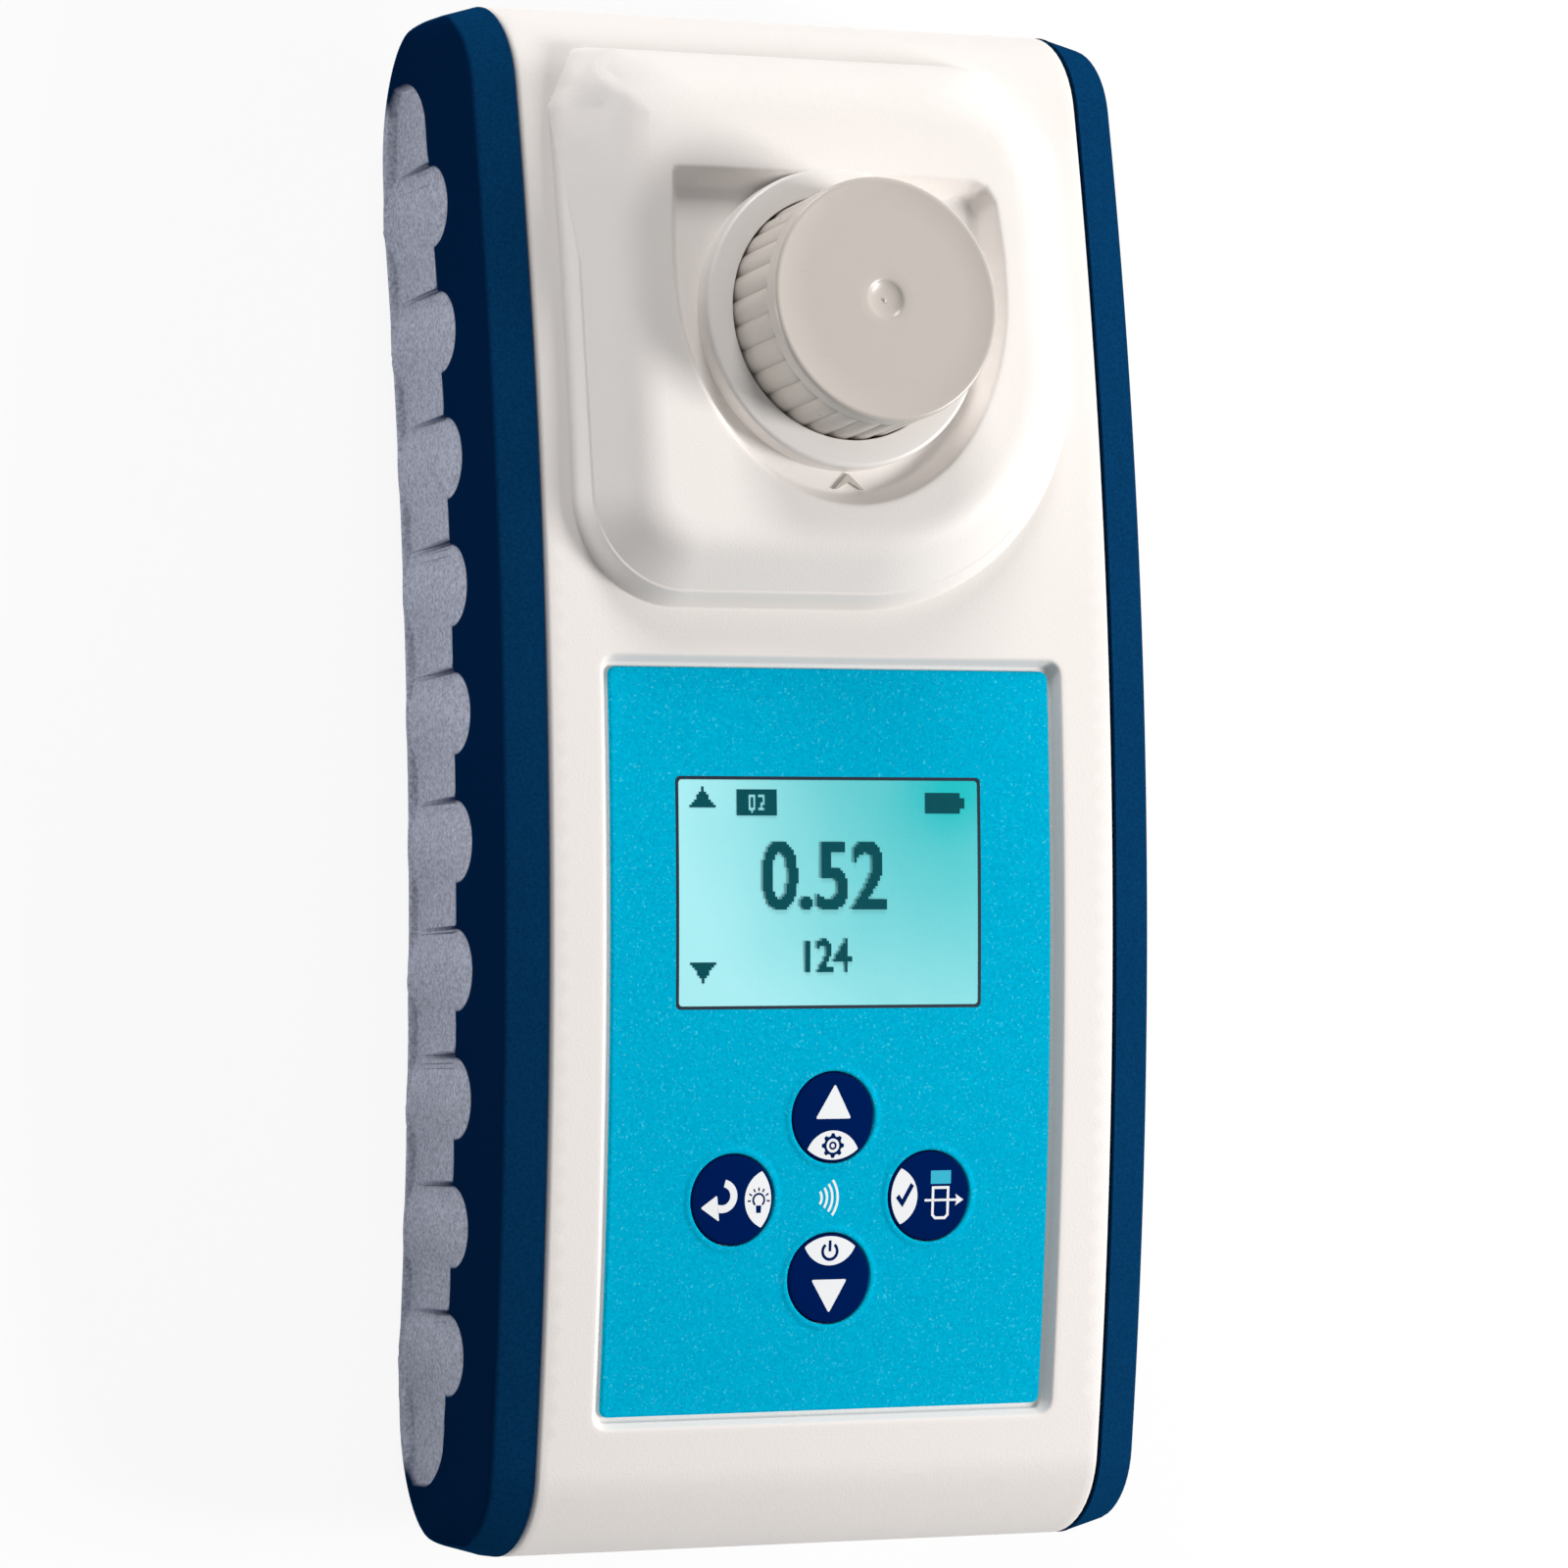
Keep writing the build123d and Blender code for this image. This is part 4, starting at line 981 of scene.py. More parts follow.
# A thin printed shape: loops may nest, and every second one is a hole
def plate(name, loops, low, high, where, finish, spacing=0.6):
    points, edges = [], []
    for loop in loops:
        first = len(points)
        run = spaced([tuple(point) for point in loop], spacing)
        points += run
        edges += [(first + i, first + (i + 1) % len(run)) for i in range(len(run))]
    spots, _, triangles, _, _, _ = delaunay_2d_cdt([Vector(point) for point in points], edges, [], 0, 1e-6)
    spots = np.array([tuple(spot) for spot in spots])
    middles = np.array([spots[list(face)].mean(0) for face in triangles])
    inside = np.zeros(len(triangles), bool)
    for loop in loops:
        inside ^= insetOf(middles, loop) > 0
    faces = [tuple(face) for face, good in zip(triangles, inside) if good]
    return closedSkin(name, where(spots, high), where(spots, low), faces, finish, 30)


# Display: dark rim, lit face and figures made of small square dots
display = {
    "line": 0.33, "lineCorner": 0.7, "back": -1.2, "face": -0.82, "rimHigh": -0.79,
    "dot": 0.262, "dotGap": 0.0, "dotHigh": -0.80, "dotThick": 0.03, "bolder": 0.014, "squeeze": 0.86,
    "bigText": "0.52", "bigSize": 9.6, "bigPlace": (-0.6, 1.2),
    "smallText": "124", "smallSize": 4.6, "smallPlace": (-0.4, -6.6),
}


def overDisplay(spots, height):
    return strip.place(
        spots + np.array([windowSpot["x"], runAt(windowSpot["y"])]), np.full(len(spots), height),
    )


def makeDisplay():
    halfX, halfY, line = windowSpot["halfX"], windowSpot["halfY"], display["line"]
    edge = roundedBox((0, 0), halfX, halfY, display["lineCorner"], 1.2)
    inner = roundedBox((0, 0), halfX - line, halfY - line, display["lineCorner"] - line, 1.2)
    face = plate("displayFace", [edge], display["back"], display["face"], overDisplay, "displayFace", 1.2)
    rim = plate(
        "displayRim", [edge, inner], display["back"], display["rimHigh"], overDisplay, "lineDark", 1.2,
    )
    seat(face, "housing", "display_window", "display_window")
    seat(rim, "housing", "display_window")


# Centres of the display's dots that lie in a word, on the display's own grid
def textDots(text, size, place):
    words = bpy.data.curves.new("figures", "FONT")
    words.body, words.size, words.offset = text, size, display["bolder"] * size
    words.align_x, words.align_y = "CENTER", "CENTER"
    holder = bpy.data.objects.new("figures", words)
    bpy.context.scene.collection.objects.link(holder)
    bpy.context.view_layer.update()
    flat = bpy.data.meshes.new_from_object(holder)
    shape = bmesh.new()
    shape.from_mesh(flat)
    tree = BVHTree.FromBMesh(shape)
    pitch, dots = display["dot"], []
    startX, startY = (round(value / pitch) * pitch for value in place)
    for column in range(-60, 61):
        for line in range(-30, 31):
            spot = Vector((column * pitch / display["squeeze"], line * pitch, 1))
            if tree.ray_cast(spot, Vector((0, 0, -1)))[0] is not None:
                dots.append((column * pitch + startX, line * pitch + startY))
    shape.free()
    bpy.data.objects.remove(holder)
    bpy.data.meshes.remove(flat)
    return dots


def boxDots(left, right, low, high):
    left, right, low, high = (round(value / display["dot"]) for value in (left, right, low, high))
    return {(i, j) for i in range(left, right + 1) for j in range(low, high + 1)}


def displayDots():
    pitch = display["dot"]
    dots = set()
    for text, size, place in (
        (display["bigText"], display["bigSize"], display["bigPlace"]),
        (display["smallText"], display["smallSize"], display["smallPlace"]),
    ):
        dots |= {(round(x / pitch), round(y / pitch)) for x, y in textDots(text, size, place)}
    for row in range(8):
        reach = row * 5 // 7
        dots |= {(i - 54, 40 - row) for i in range(-reach, reach + 1)}
        dots |= {(i - 54, -34 + row) for i in range(-reach, reach + 1)}
    dots |= boxDots(-10.3, -6.0, 7.9, 10.1)
    dots |= boxDots(11.0, 14.6, 8.0, 10.0) | boxDots(14.9, 15.2, 8.6, 9.4)
    dots -= {(round(x / pitch), round(y / pitch)) for x, y in textDots("02", 2.5, (-8.1, 8.95))}
    return sorted(dots)


# A Geometry Nodes tree with named size inputs, and the identifiers to set them by
def groupTree(name, inputs):
    tree = bpy.data.node_groups.new(name, "GeometryNodeTree")
    tree.interface.new_socket("Geometry", in_out="INPUT", socket_type="NodeSocketGeometry")
    tree.interface.new_socket("Geometry", in_out="OUTPUT", socket_type="NodeSocketGeometry")
    marks = {}
    for label, (kind, value) in inputs.items():
        socket = tree.interface.new_socket(label, in_out="INPUT", socket_type="NodeSocket" + kind)
        if value is not None:
            socket.default_value = value
        marks[label] = socket.identifier
    return tree, marks


def growNode(tree, kind, settings=None, inputs=None):
    node = tree.nodes.new(kind)
    for key, value in (settings or {}).items():
        setattr(node, key, value)
    for key, value in (inputs or {}).items():
        if isinstance(value, bpy.types.NodeSocket):
            tree.links.new(value, node.inputs[key])
        else:
            node.inputs[key].default_value = value
    return node


# The output of one sum in a node tree
def reckon(tree, operation, *values):
    return growNode(tree, "ShaderNodeMath", {"operation": operation}, dict(enumerate(values))).outputs[0]


# Runs a Geometry Nodes tree on a mesh and returns the plain result as a new piece
def grown(name, points, faces, tree, values, finish, angle=40):
    seed = bpy.data.meshes.new(name + "Seed")
    seed.from_pydata([tuple(value * mm for value in point) for point in points], [], faces)
    holder = bpy.data.objects.new(name + "Seed", seed)
    bpy.context.scene.collection.objects.link(holder)
    modifier = holder.modifiers.new(tree.name, "NODES")
    modifier.node_group = tree
    for mark, value in values.items():
        modifier[mark] = value
    bpy.context.view_layer.update()
    ready = holder.evaluated_get(bpy.context.evaluated_depsgraph_get())
    mesh = bpy.data.meshes.new_from_object(ready)
    holder.modifiers.clear()
    bpy.data.objects.remove(holder)
    mesh.name = name
    if not mesh.materials:
        mesh.materials.append(finishes[finish])
    mesh.polygons.foreach_set("use_smooth", [True] * len(mesh.polygons))
    mesh.set_sharp_from_angle(angle=radians(angle))
    piece = bpy.data.objects.new(name, mesh)
    bpy.context.scene.collection.objects.link(piece)
    return piece


# Stands a flat box on every point of the seed mesh
def dotTree():
    tree, marks = groupTree("displayDots", {
        "Dot": ("Float", 0.0002), "Thick": ("Float", 0.00002), "Finish": ("Material", None),
    })
    start, end = tree.nodes.new("NodeGroupInput"), tree.nodes.new("NodeGroupOutput")
    size = growNode(
        tree, "ShaderNodeCombineXYZ", {},
        {0: start.outputs["Dot"], 1: start.outputs["Dot"], 2: start.outputs["Thick"]},
    )
    box = growNode(tree, "GeometryNodeMeshCube", {}, {"Size": size.outputs[0]})
    spread = growNode(
        tree, "GeometryNodeInstanceOnPoints", {}, {"Points": start.outputs[0], "Instance": box.outputs[0]},
    )
    real = growNode(tree, "GeometryNodeRealizeInstances", {}, {0: spread.outputs[0]})
    made = growNode(
        tree, "GeometryNodeSetMaterial", {},
        {"Geometry": real.outputs[0], "Material": start.outputs["Finish"]},
    )
    tree.links.new(made.outputs[0], end.inputs[0])
    return tree, marks


def makeFigures():
    pitch = display["dot"]
    spots = np.array(displayDots(), float) * pitch
    tree, marks = dotTree()
    piece = grown("displayFigures", overDisplay(spots, display["dotHigh"]), [], tree, {
        marks["Dot"]: (pitch - display["dotGap"]) * mm, marks["Thick"]: display["dotThick"] * mm,
        marks["Finish"]: finishes["displayInk"],
    }, "displayInk", 30)
    seat(piece, "housing", "display_window")
    print("display dots:", len(spots))


makeDisplay()
makeFigures()

# Keys with their printed signs
keyShape = {
    "radius": 4.5, "proud": 0.15, "body": 1.8, "edge": 0.14, "dome": 0.05, "inkLow": -0.03, "inkHigh": 0.012,
}
lensSpot = {"away": 4.4, "radius": 3.07, "rim": 4.28}


# Takes a point on the key's face, with its height above the face, to its place on the arch
def keyPlace(name):
    x, y = keySpots[name]
    run = runAt(y)
    atY, atZ, outY, outZ = (float(value) for value in strip.at(np.array(run)))
    top = labelSpot["thick"] - labelSpot["depth"] + keyShape["proud"]

    def place(spots, height):
        spots = np.asarray(spots, float)
        away = np.hypot(*spots.T)
        lift = top + height - keyShape["dome"] * (away / keyShape["radius"]) ** 2
        return np.stack([
            x + spots[:, 0], atY + spots[:, 1] * outZ + outY * lift, atZ - spots[:, 1] * outY + outZ * lift,
        ], 1)
    return place


def makeKey(name):
    radius, edge = keyShape["radius"], keyShape["edge"]
    where = keyPlace(name)
    profile = [
        (0, -keyShape["body"]), (radius - 0.1, -keyShape["body"]), (radius, -keyShape["body"] + 0.1),
        (radius, -edge),
    ]
    profile += [
        (radius - edge + edge * cos(turn), -edge + edge * sin(turn))
        for turn in np.linspace(0.25, pi / 2, 5)
    ]
    profile += [(radius * share, 0) for share in (0.85, 0.6, 0.3)] + [(0, 0)]
    points, faces = lathe(profile, 72)
    points = np.array(points)
    placed = np.vstack([where(points[i:i + 1, :2], points[i, 2]) for i in range(len(points))])
    piece = newPiece(name.replace("_", "") + "Cap", placed, faces, "keyNavy")
    tidyNormals(piece)
    piece.data.set_sharp_from_angle(angle=radians(40))
    seat(piece, name, "key_navy", name)


# White almond between the key's rim and an arc, turned to the side that it lies on
def lensLoop(turn):
    away, radius, rim = lensSpot["away"], lensSpot["radius"], lensSpot["rim"]
    half = acos((away ** 2 + rim ** 2 - radius ** 2) / (2 * away * rim)) * 180 / pi
    swing = acos((away ** 2 + radius ** 2 - rim ** 2) / (2 * away * radius)) * 180 / pi
    middle = (away * cos(radians(turn)), away * sin(radians(turn)))
    loop = arcPoints((0, 0), rim, turn - half, turn + half, 0.15)
    return loop + arcPoints(middle, radius, turn + 180 - swing, turn + 180 + swing, 0.15)[1:-1]


def softTriangle(points, cut=0.28):
    loop = []
    for before, corner, after in zip(points[-1:] + points[:-1], points, points[1:] + points[:1]):
        start = Vector(corner) + (Vector(before) - Vector(corner)).normalized() * cut
        end = Vector(corner) + (Vector(after) - Vector(corner)).normalized() * cut
        loop += [
            tuple(start * (1 - t) ** 2 + Vector(corner) * 2 * t * (1 - t) + end * t * t)
            for t in (0, 0.25, 0.5, 0.75, 1)
        ]
    return loop


# A band of even width along a run of points
def strokeLoop(points, width):
    path = np.array(points, float)
    along = np.gradient(path, axis=0)
    along /= np.hypot(*along.T)[:, None]
    side = np.stack([-along[:, 1], along[:, 0]], 1) * width / 2
    return np.vstack([path + side, (path - side)[::-1]]).tolist()


def gearLoops(centre, outer, root, hole, teeth):
    loop = []
    for number in range(teeth * 2):
        reach = outer if number % 2 == 0 else root
        for swing in (-0.3, 0.3):
            turn = (number + swing) * pi / teeth
            loop.append((centre[0] + reach * cos(turn), centre[1] + reach * sin(turn)))
    return [loop, circleLoop(centre, hole, 24)]


def makeSigns():
    white, dark, blue = "inkWhite", "keyNavy", "inkCyan"
    rays = [
        [
            (2.9 + reach * cos(radians(turn)), -0.05 + reach * sin(radians(turn)))
            for reach in (0.9, 1.05, 1.25)
        ]
        for turn in (-5, 30, 62, 90, 118, 150, 185)
    ]
    signs = {
        "key_up": [
            (white, [softTriangle([(0.15, 3.35), (-2.0, -0.15), (2.0, -0.15)])]), (white, [lensLoop(-90)]),
            (dark, gearLoops((0, -2.85), 1.25, 0.98, 0.72, 8)),
            (dark, [circleLoop((0, -2.85), 0.42, 20), circleLoop((0, -2.85), 0.22, 16)]),
        ],
        "key_down": [
            (white, [softTriangle([(0.1, -3.5), (2.0, -0.1), (-2.0, -0.1)])]), (white, [lensLoop(90)]),
            (dark, [strokeLoop(arcPoints((0, 2.75), 0.82, 128, 412, 0.1), 0.3)]),
            (dark, [strokeLoop([(0, 2.75), (0, 3.3), (0, 3.85)], 0.3)]),
        ],
        "key_left": [
            (white, [strokeLoop(arcPoints((-1.2, 0.4), 1.3, 78, -92, 0.15) + [(-1.7, -0.85)], 0.78)]),
            (white, [softTriangle([(-3.55, -0.75), (-1.45, -2.15), (-1.75, 0.5)], 0.22)]),
            (white, [lensLoop(0)]),
            (dark, [strokeLoop(arcPoints((2.9, -0.05), 0.62, -50, 230, 0.1), 0.2)]),
            (dark, [[(2.6, -0.6), (3.2, -0.6), (3.15, -1.35), (2.65, -1.35)]]),
        ] + [(dark, [strokeLoop(ray, 0.16)]) for ray in rays],
        "key_right": [
            (white, [lensLoop(180)]),
            (dark, [[(-3.75, -0.15), (-3.4, 0.2), (-3.05, -0.3), (-2.1, 1.35), (-1.75, 1.05), (-3.0, -1.1)]]),
            (blue, [[(0.15, 1.2), (2.45, 1.2), (2.45, 2.55), (0.15, 2.55)]]),
            (white, [[(0.3, 0.95), (2.3, 0.95), (2.3, -2.0), (1.9, -2.4), (0.7, -2.4), (0.3, -2.0)],
                     [(0.58, 0.68), (2.02, 0.68), (2.02, -1.9), (1.8, -2.12), (0.8, -2.12), (0.58, -1.9)]]),
            (white, [strokeLoop([(-0.5, -0.45), (1.3, -0.45), (3.2, -0.45)], 0.24)]),
            (white, [[(3.0, 0.15), (3.95, -0.45), (3.0, -1.05), (3.2, -0.45)]]),
        ],
    }
    for name, shapes in signs.items():
        where = keyPlace(name)
        for number, (finish, loops) in enumerate(shapes):
            layer = 0.008 * (2 if finish == dark else 1)
            piece = plate(
                name.replace("_", "") + "Sign%02d" % number, loops, keyShape["inkLow"],
                keyShape["inkHigh"] + layer, where, finish,
            )
            seat(piece, name, "key_navy")
    middle = runAt(-42.6)

    def onFilm(spots, height):
        return strip.place(spots + np.array([0, middle]), np.full(len(spots), height))
    for number, radius in enumerate((1.15, 1.75, 2.35, 2.95)):
        loop = strokeLoop(arcPoints((-2.2, 0), radius, -34 - number, 34 + number, 0.15), 0.27)
        film = labelSpot["thick"] - labelSpot["depth"]
        wave = plate("waveSign%d" % number, [loop], film - 0.03, film + 0.02, onFilm, white)
        seat(wave, "housing", "label_turquoise")


for keyName in keySpots:
    makeKey(keyName)
makeSigns()
print("keys and signs made")

# Chamber ring, caret, vial and cap, in the chamber's own leaning frame
ring = {"outer": 15.3, "inner": 12.5, "height": 2.4, "edge": 0.45, "innerEdge": 0.12}
cap = {
    "radius": 12.4, "core": 11.75, "foot": 0.7, "band": 1.9, "top": 11.58, "edge": 0.42, "wall": 1.6,
    "bore": 10.4, "dish": 0.1, "dimple": 2.0, "dimpleDepth": 0.55,
    # each flute is a flattened rod whose ends taper
    "flutes": 30, "fluteRadius": 1.34, "fluteFlat": 0.42, "endPower": 14.0, "endTaper": 0.45,
}


def roundEdge(centre, radius, start, end, count=6):
    return [
        (centre[0] + radius * cos(radians(t)), centre[1] + radius * sin(radians(t)))
        for t in np.linspace(start, end, count)
    ]


def makeRing():
    edge, inner = ring["edge"], ring["innerEdge"]
    profile = [(ring["inner"], 0), (ring["outer"], 0), (ring["outer"], ring["height"] - edge)]
    profile += roundEdge((ring["outer"] - edge, ring["height"] - edge), edge, 15, 90)
    profile += roundEdge((ring["inner"] + inner, ring["height"] - inner), inner, 90, 180, 4)
    points, faces = lathe(profile, 144, True)
    piece = newPiece("chamberRing", inChamber(points), faces, "ringWhite")
    tidyNormals(piece)
    piece.data.set_sharp_from_angle(angle=radians(40))
    seat(piece, "housing", "ring_white", "chamber_ring")


def makeCaret():
    apex, half, foot, width = (0.3, -15.6), 1.3, -17.1, 0.34
    loop = [
        (apex[0] - half - width, foot), (apex[0], apex[1] + 0.1), (apex[0] + half + width, foot),
        (apex[0] + half, foot), (apex[0], apex[1] - 0.75), (apex[0] - half, foot),
    ]

    def onFloor(spots, height):
        return np.array(inChamber([(x, y, height) for x, y in spots]))
    # Painted shade: the chevron is as white as the floor round it, and the darker cap colour stands in for
    # its shading.
    seat(plate("caretPaintedShade", [loop], -0.1, 0.28, onFloor, "capWhite", 0.4), "housing", "shell_white")


# One rounded flute, stood on every point of a ring and turned outwards
def fluteTree():
    tree, marks = groupTree("capFlutes", {
        "Count": ("Int", 30), "Ring": ("Float", 0.011), "Radius": ("Float", 0.0013), "Flat": ("Float", 0.5),
        "Height": ("Float", 0.008), "Foot": ("Float", 0.0007), "Finish": ("Material", None),
    })
    start, end = tree.nodes.new("NodeGroupInput"), tree.nodes.new("NodeGroupOutput")
    rib = growNode(tree, "GeometryNodeMeshCylinder", {"fill_type": "TRIANGLE_FAN"}, {
        "Vertices": 28, "Side Segments": 20, "Radius": start.outputs["Radius"],
        "Depth": start.outputs["Height"],
    })
    spot = growNode(tree, "GeometryNodeInputPosition")
    parts = growNode(tree, "ShaderNodeSeparateXYZ", {}, {0: spot.outputs[0]})
    half = reckon(tree, "MULTIPLY", start.outputs["Height"], 0.5)
    away = reckon(tree, "ABSOLUTE", parts.outputs[2])
    share = reckon(tree, "DIVIDE", away, half)
    sharp = reckon(tree, "POWER", share, cap["endPower"])
    slim = reckon(tree, "MULTIPLY_ADD", sharp, -cap["endTaper"], 1.0)
    shallow = reckon(tree, "MULTIPLY", slim, start.outputs["Flat"])
    outX = reckon(tree, "MULTIPLY", parts.outputs[0], shallow)
    outY = reckon(tree, "MULTIPLY", parts.outputs[1], slim)
    moved = growNode(tree, "ShaderNodeCombineXYZ", {}, {0: outX, 1: outY, 2: parts.outputs[2]})
    shaped = growNode(
        tree, "GeometryNodeSetPosition", {}, {"Geometry": rib.outputs[0], "Position": moved.outputs[0]},
    )
    circle = growNode(
        tree, "GeometryNodeMeshCircle", {},
        {"Vertices": start.outputs["Count"], "Radius": start.outputs["Ring"]},
    )
    index = growNode(tree, "GeometryNodeInputIndex")
    full = reckon(tree, "DIVIDE", 2 * pi, start.outputs["Count"])
    turn = reckon(tree, "MULTIPLY", index.outputs[0], full)
    turned = growNode(tree, "ShaderNodeCombineXYZ", {}, {2: turn})
    spread = growNode(tree, "GeometryNodeInstanceOnPoints", {}, {
        "Points": circle.outputs[0], "Instance": shaped.outputs[0], "Rotation": turned.outputs[0],
    })
    middle = reckon(tree, "ADD", half, start.outputs["Foot"])
    lift = growNode(tree, "ShaderNodeCombineXYZ", {}, {2: middle})
    raised = growNode(
        tree, "GeometryNodeTransform", {}, {"Geometry": spread.outputs[0], "Translation": lift.outputs[0]},
    )
    joined = growNode(tree, "GeometryNodeJoinGeometry")
    tree.links.new(raised.outputs[0], joined.inputs[0])
    tree.links.new(start.outputs[0], joined.inputs[0])
    real = growNode(tree, "GeometryNodeRealizeInstances", {}, {0: joined.outputs[0]})
    made = growNode(
        tree, "GeometryNodeSetMaterial", {},
        {"Geometry": real.outputs[0], "Material": start.outputs["Finish"]},
    )
    tree.links.new(made.outputs[0], end.inputs[0])
    return tree, marks


def makeCap():
    radius, top, edge, bandLow = cap["radius"], cap["top"], cap["edge"], cap["top"] - cap["band"]
    core, dimple, dish = cap["core"], cap["dimple"], top - cap["dish"]
    low = dish - cap["dimpleDepth"]
    profile = [
        (0, top - cap["wall"]), (cap["bore"], top - cap["wall"]), (cap["bore"], cap["foot"]),
        (core - 0.2, cap["foot"]), (core, cap["foot"] + 0.2), (core, bandLow - 0.35),
        (core + 0.1, bandLow - 0.12), (radius - 0.2, bandLow), (radius, bandLow + 0.18),
        (radius, bandLow + 0.9),
    ]
    profile += roundEdge((radius - edge, top - edge), edge, 5, 90, 7)
    profile += [
        (radius - edge - 0.25, top - 0.02), (radius - edge - 0.5, dish), (radius * 0.7, dish),
        (dimple + 1.2, dish), (dimple + 0.35, dish), (dimple + 0.1, dish - 0.05),
    ]
    profile += [
        (dimple * sin(t), dish - cap["dimpleDepth"] * cos(t) ** 1.2)
        for t in (1.35, 1.15, 0.95, 0.75, 0.55, 0.35, 0.2)
    ]
    profile += [(0.22, low + 0.02), (0.12, low + 0.16), (0, low + 0.2)]
    points, faces = lathe(profile, 180)
    tree, marks = fluteTree()
    piece = grown("vialCap", points, faces, tree, {
        marks["Count"]: cap["flutes"],
        marks["Ring"]: (cap["radius"] - cap["fluteRadius"] * cap["fluteFlat"] - 0.02) * mm,
        marks["Radius"]: cap["fluteRadius"] * mm, marks["Flat"]: cap["fluteFlat"],
        marks["Height"]: (bandLow - cap["foot"] + 0.1) * mm, marks["Foot"]: cap["foot"] * mm,
        marks["Finish"]: finishes["capWhite"],
    }, "capWhite", 38)
    piece.data.transform(Matrix.Translation(chamberFoot * mm) @ chamberFrame.to_3x3().to_4x4())
    seat(piece, "vial_cap", "cap_white", "vial_cap")
    print("cap triangles:", len(piece.data.polygons))


vial = {"radius": 12.0, "wall": 1.2, "floor": 1.5, "foot": -25.8, "shoulder": 0.3, "neck": 10.3, "top": 9.1}


def makeVial():
    radius, wall, foot, neck, high = vial["radius"], vial["wall"], vial["foot"], vial["neck"], vial["top"]
    bend = vial["shoulder"]
    profile = [(0, foot + 0.3), (radius - 2.5, foot + 0.15)]
    profile += roundEdge((radius - 0.8, foot + 0.8), 0.8, -90, 0)
    profile += roundEdge((radius - 0.7, bend - 0.7), 0.7, 0, 90) + [(neck, bend), (neck, high - 0.3)]
    profile += roundEdge((neck - 0.3, high - 0.3), 0.3, 0, 90, 4)
    profile += roundEdge((neck - wall + 0.3, high - 0.3), 0.3, 90, 180, 4)
    profile += [(neck - wall, bend - 2.2), (radius - wall, bend - 3.0), (radius - wall, foot + 2.3)]
    profile += roundEdge((radius - wall - 0.8, foot + 2.3), 0.8, 0, -90) + [(0, foot + 1.5)]
    points, faces = lathe(profile, 120)
    piece = newPiece("vialGlass", inChamber(points), faces, "vialGlass")
    tidyNormals(piece)
    piece.data.set_sharp_from_angle(angle=radians(40))
    seat(piece, "vial", "vial_glass", "vial")


makeRing()
makeCaret()
makeCap()
makeVial()

# Rigid nodes whose shape is right: a merged copy with softened edges, or the node itself with its finish
dressed = {
    "back_shell": ("backShell", "shellWhite", 0.25, "shell_white", "housing"),
    "battery_cover": ("batteryCover", "shellWhite", 0.2, "shell_white", "battery_cover"),
    "cover_screw": ("coverScrew", "screwSteel", 0.12, "screw_steel", "cover_screw"),
    "housing_screws": ("housingScrews", "screwSteel", 0.12, "screw_steel", "housing"),
    "chamber_body": ("chamberBody", "mouldedBlack", 0.2, "moulded_black", "housing"),
    "cap_liner": ("capLiner", "mouldedNatural", 0.1, "seal_rubber", "cap_liner"),
}
dressing = {"merge": 2e-6, "flat": 0.6, "smooth": 28, "bevelOver": 40}
plainNodes = {
    "shell_seal": "sealRubber", "cover_seal": "sealRubber", "key_switches": "mouldedBlack",
    "main_board": "boardGreen", "board_screws": "screwSteel", "display_glass": "displayGlass",
    "display_backlight": "mouldedNatural", "wireless_module": "screwSteel", "processor": "mouldedBlack",
    "buzzer": "mouldedBlack", "lamp": "lampLens", "lamp_board": "boardGreen", "colour_filter": "filterGlass",
    "light_detector": "mouldedBlack", "detector_board": "boardGreen", "battery_holder": "mouldedBlack",
    "batteries": "cellWrap", "battery_contacts": "contactMetal", "battery_springs": "contactMetal",
}


def dressNode(node, name, finish, bevel, slotName, body):
    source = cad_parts[node].data
    shape = bmesh.new()
    shape.from_mesh(source)
    bmesh.ops.remove_doubles(shape, verts=shape.verts, dist=dressing["merge"])
    bmesh.ops.dissolve_limit(
        shape, angle_limit=radians(dressing["flat"]), verts=shape.verts, edges=shape.edges,
    )
    mesh = bpy.data.meshes.new(name)
    shape.to_mesh(mesh)
    shape.free()
    mesh.materials.clear()
    mesh.materials.append(finishes[finish])
    mesh.polygons.foreach_set("material_index", [0] * len(mesh.polygons))
    mesh.polygons.foreach_set("use_smooth", [True] * len(mesh.polygons))
    mesh.set_sharp_from_angle(angle=radians(dressing["smooth"]))
    piece = bpy.data.objects.new(name, mesh)
    bpy.context.scene.collection.objects.link(piece)
    soften = piece.modifiers.new("softEdges", "BEVEL")
    soften.width, soften.segments = bevel * mm, 2
    soften.limit_method, soften.angle_limit = "ANGLE", radians(dressing["bevelOver"])
    soften.use_clamp_overlap, soften.harden_normals = True, False
    seat(piece, body, slotName, node)


for nodeName, facts in dressed.items():
    dressNode(nodeName, *facts)
for nodeName, finishName in plainNodes.items():
    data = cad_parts[nodeName].data
    data.materials.clear()
    data.materials.append(finishes[finishName])
print("CAD nodes finished:", len(dressed) + len(plainNodes))

# Floor, light and background
studio = {"floor": 3.0, "shadow": 0.10, "sky": 0.27}


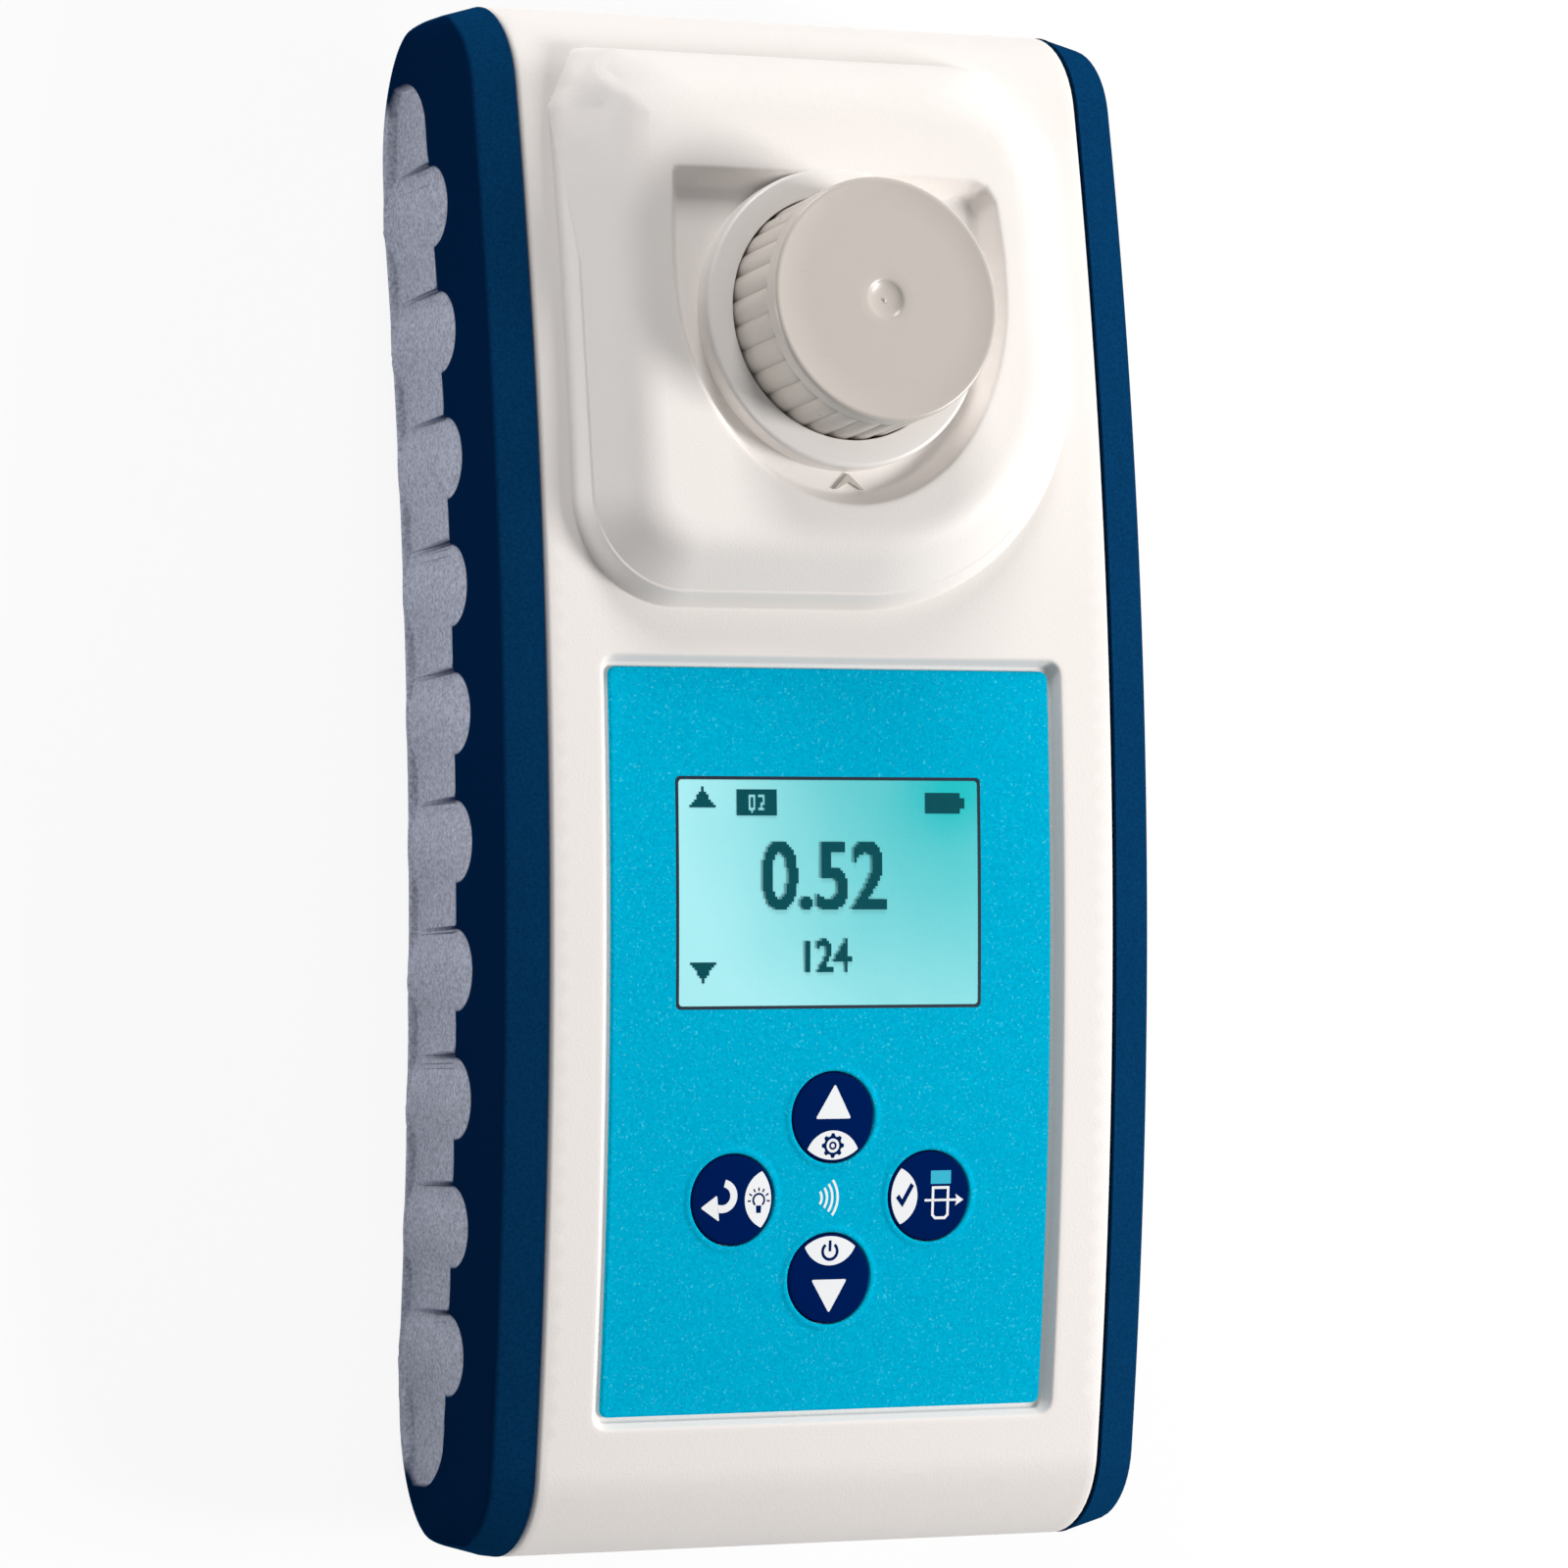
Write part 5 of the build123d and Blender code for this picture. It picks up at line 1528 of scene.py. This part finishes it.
def makeStudio():
    sheet = Sheet("paleFloor")
    path = "ShaderNodeLightPath"
    seen = sheet.add(path, output="Is Camera Ray") + sheet.add(path, output="Is Glossy Ray")
    seen = seen + sheet.add(path, output="Is Transmission Ray")
    paper = sheet.noise(2.0, 3.0, 0.6)
    matte = sheet.add(
        "ShaderNodeBsdfDiffuse", {},
        {"Color": sheet.tint(paper, colour(0.9, 0.9, 0.9), colour(0.93, 0.93, 0.93))},
    )
    white = sheet.add("ShaderNodeEmission", {}, {"Color": colour(1, 1, 1), "Strength": 1.0})
    share = sheet.ramp(seen, (0.0, 0.0), (1.0, 1 - studio["shadow"]))
    both = sheet.add("ShaderNodeMixShader", {}, {0: share, 1: matte, 2: white})
    sheet.add("ShaderNodeOutputMaterial", {}, {"Surface": both})
    half = studio["floor"] / mm / 2
    floor = newPiece(
        "floor", [(-half, -half, -0.02), (half, -half, -0.02), (half, half, -0.02), (-half, half, -0.02)],
        [(0, 1, 2, 3)], "shellWhite",
    )
    floor.data.materials.clear()
    floor.data.materials.append(sheet.material)
    world = bpy.data.worlds.new("studioSky")
    world.use_nodes = True
    bpy.context.scene.world = world
    nodes, links = world.node_tree.nodes, world.node_tree.links
    nodes.clear()
    out, mix = nodes.new("ShaderNodeOutputWorld"), nodes.new("ShaderNodeMixShader")
    light = nodes.new("ShaderNodeLightPath")
    sky, plainWhite = nodes.new("ShaderNodeBackground"), nodes.new("ShaderNodeBackground")
    sky.inputs[0].default_value, sky.inputs[1].default_value = colour(0.96, 0.98, 1.0), studio["sky"]
    plainWhite.inputs[0].default_value, plainWhite.inputs[1].default_value = colour(1, 1, 1), 1.0
    links.new(light.outputs["Is Camera Ray"], mix.inputs[0])
    links.new(sky.outputs[0], mix.inputs[1])
    links.new(plainWhite.outputs[0], mix.inputs[2])
    links.new(mix.outputs[0], out.inputs[0])
    bpy.context.scene.view_settings.view_transform = "Standard"


lamps = {
    "keyLight": {
        "place": (670, -135, 480), "aim": (0, 0, 20), "size": 240, "power": 6.8,
        "shade": (1.0, 0.985, 0.97),
    },
    "topLight": {
        "place": (-60, 640, 290), "aim": (0, 20, 20), "size": 220, "power": 2.5,
        "shade": (1.0, 0.985, 0.975),
    },
    "sideLight": {
        "place": (-175, 35, 8), "aim": (-34, -40, 12), "size": 50, "power": 0.115,
        "shade": (0.97, 0.98, 1.0),
    },
}


def makeLamps():
    for name, facts in lamps.items():
        lamp = bpy.data.lights.new(name, "AREA")
        lamp.shape, lamp.size = "SQUARE", facts["size"] * mm
        lamp.energy, lamp.color = facts["power"], facts["shade"]
        holder = bpy.data.objects.new(name, lamp)
        place, aim = Vector(facts["place"]) * mm, Vector(facts["aim"]) * mm
        holder.location = place
        holder.rotation_mode = "QUATERNION"
        holder.rotation_quaternion = (aim - place).to_track_quat("-Z", "Y")
        bpy.context.scene.collection.objects.link(holder)


makeStudio()
makeLamps()
print("studio made")
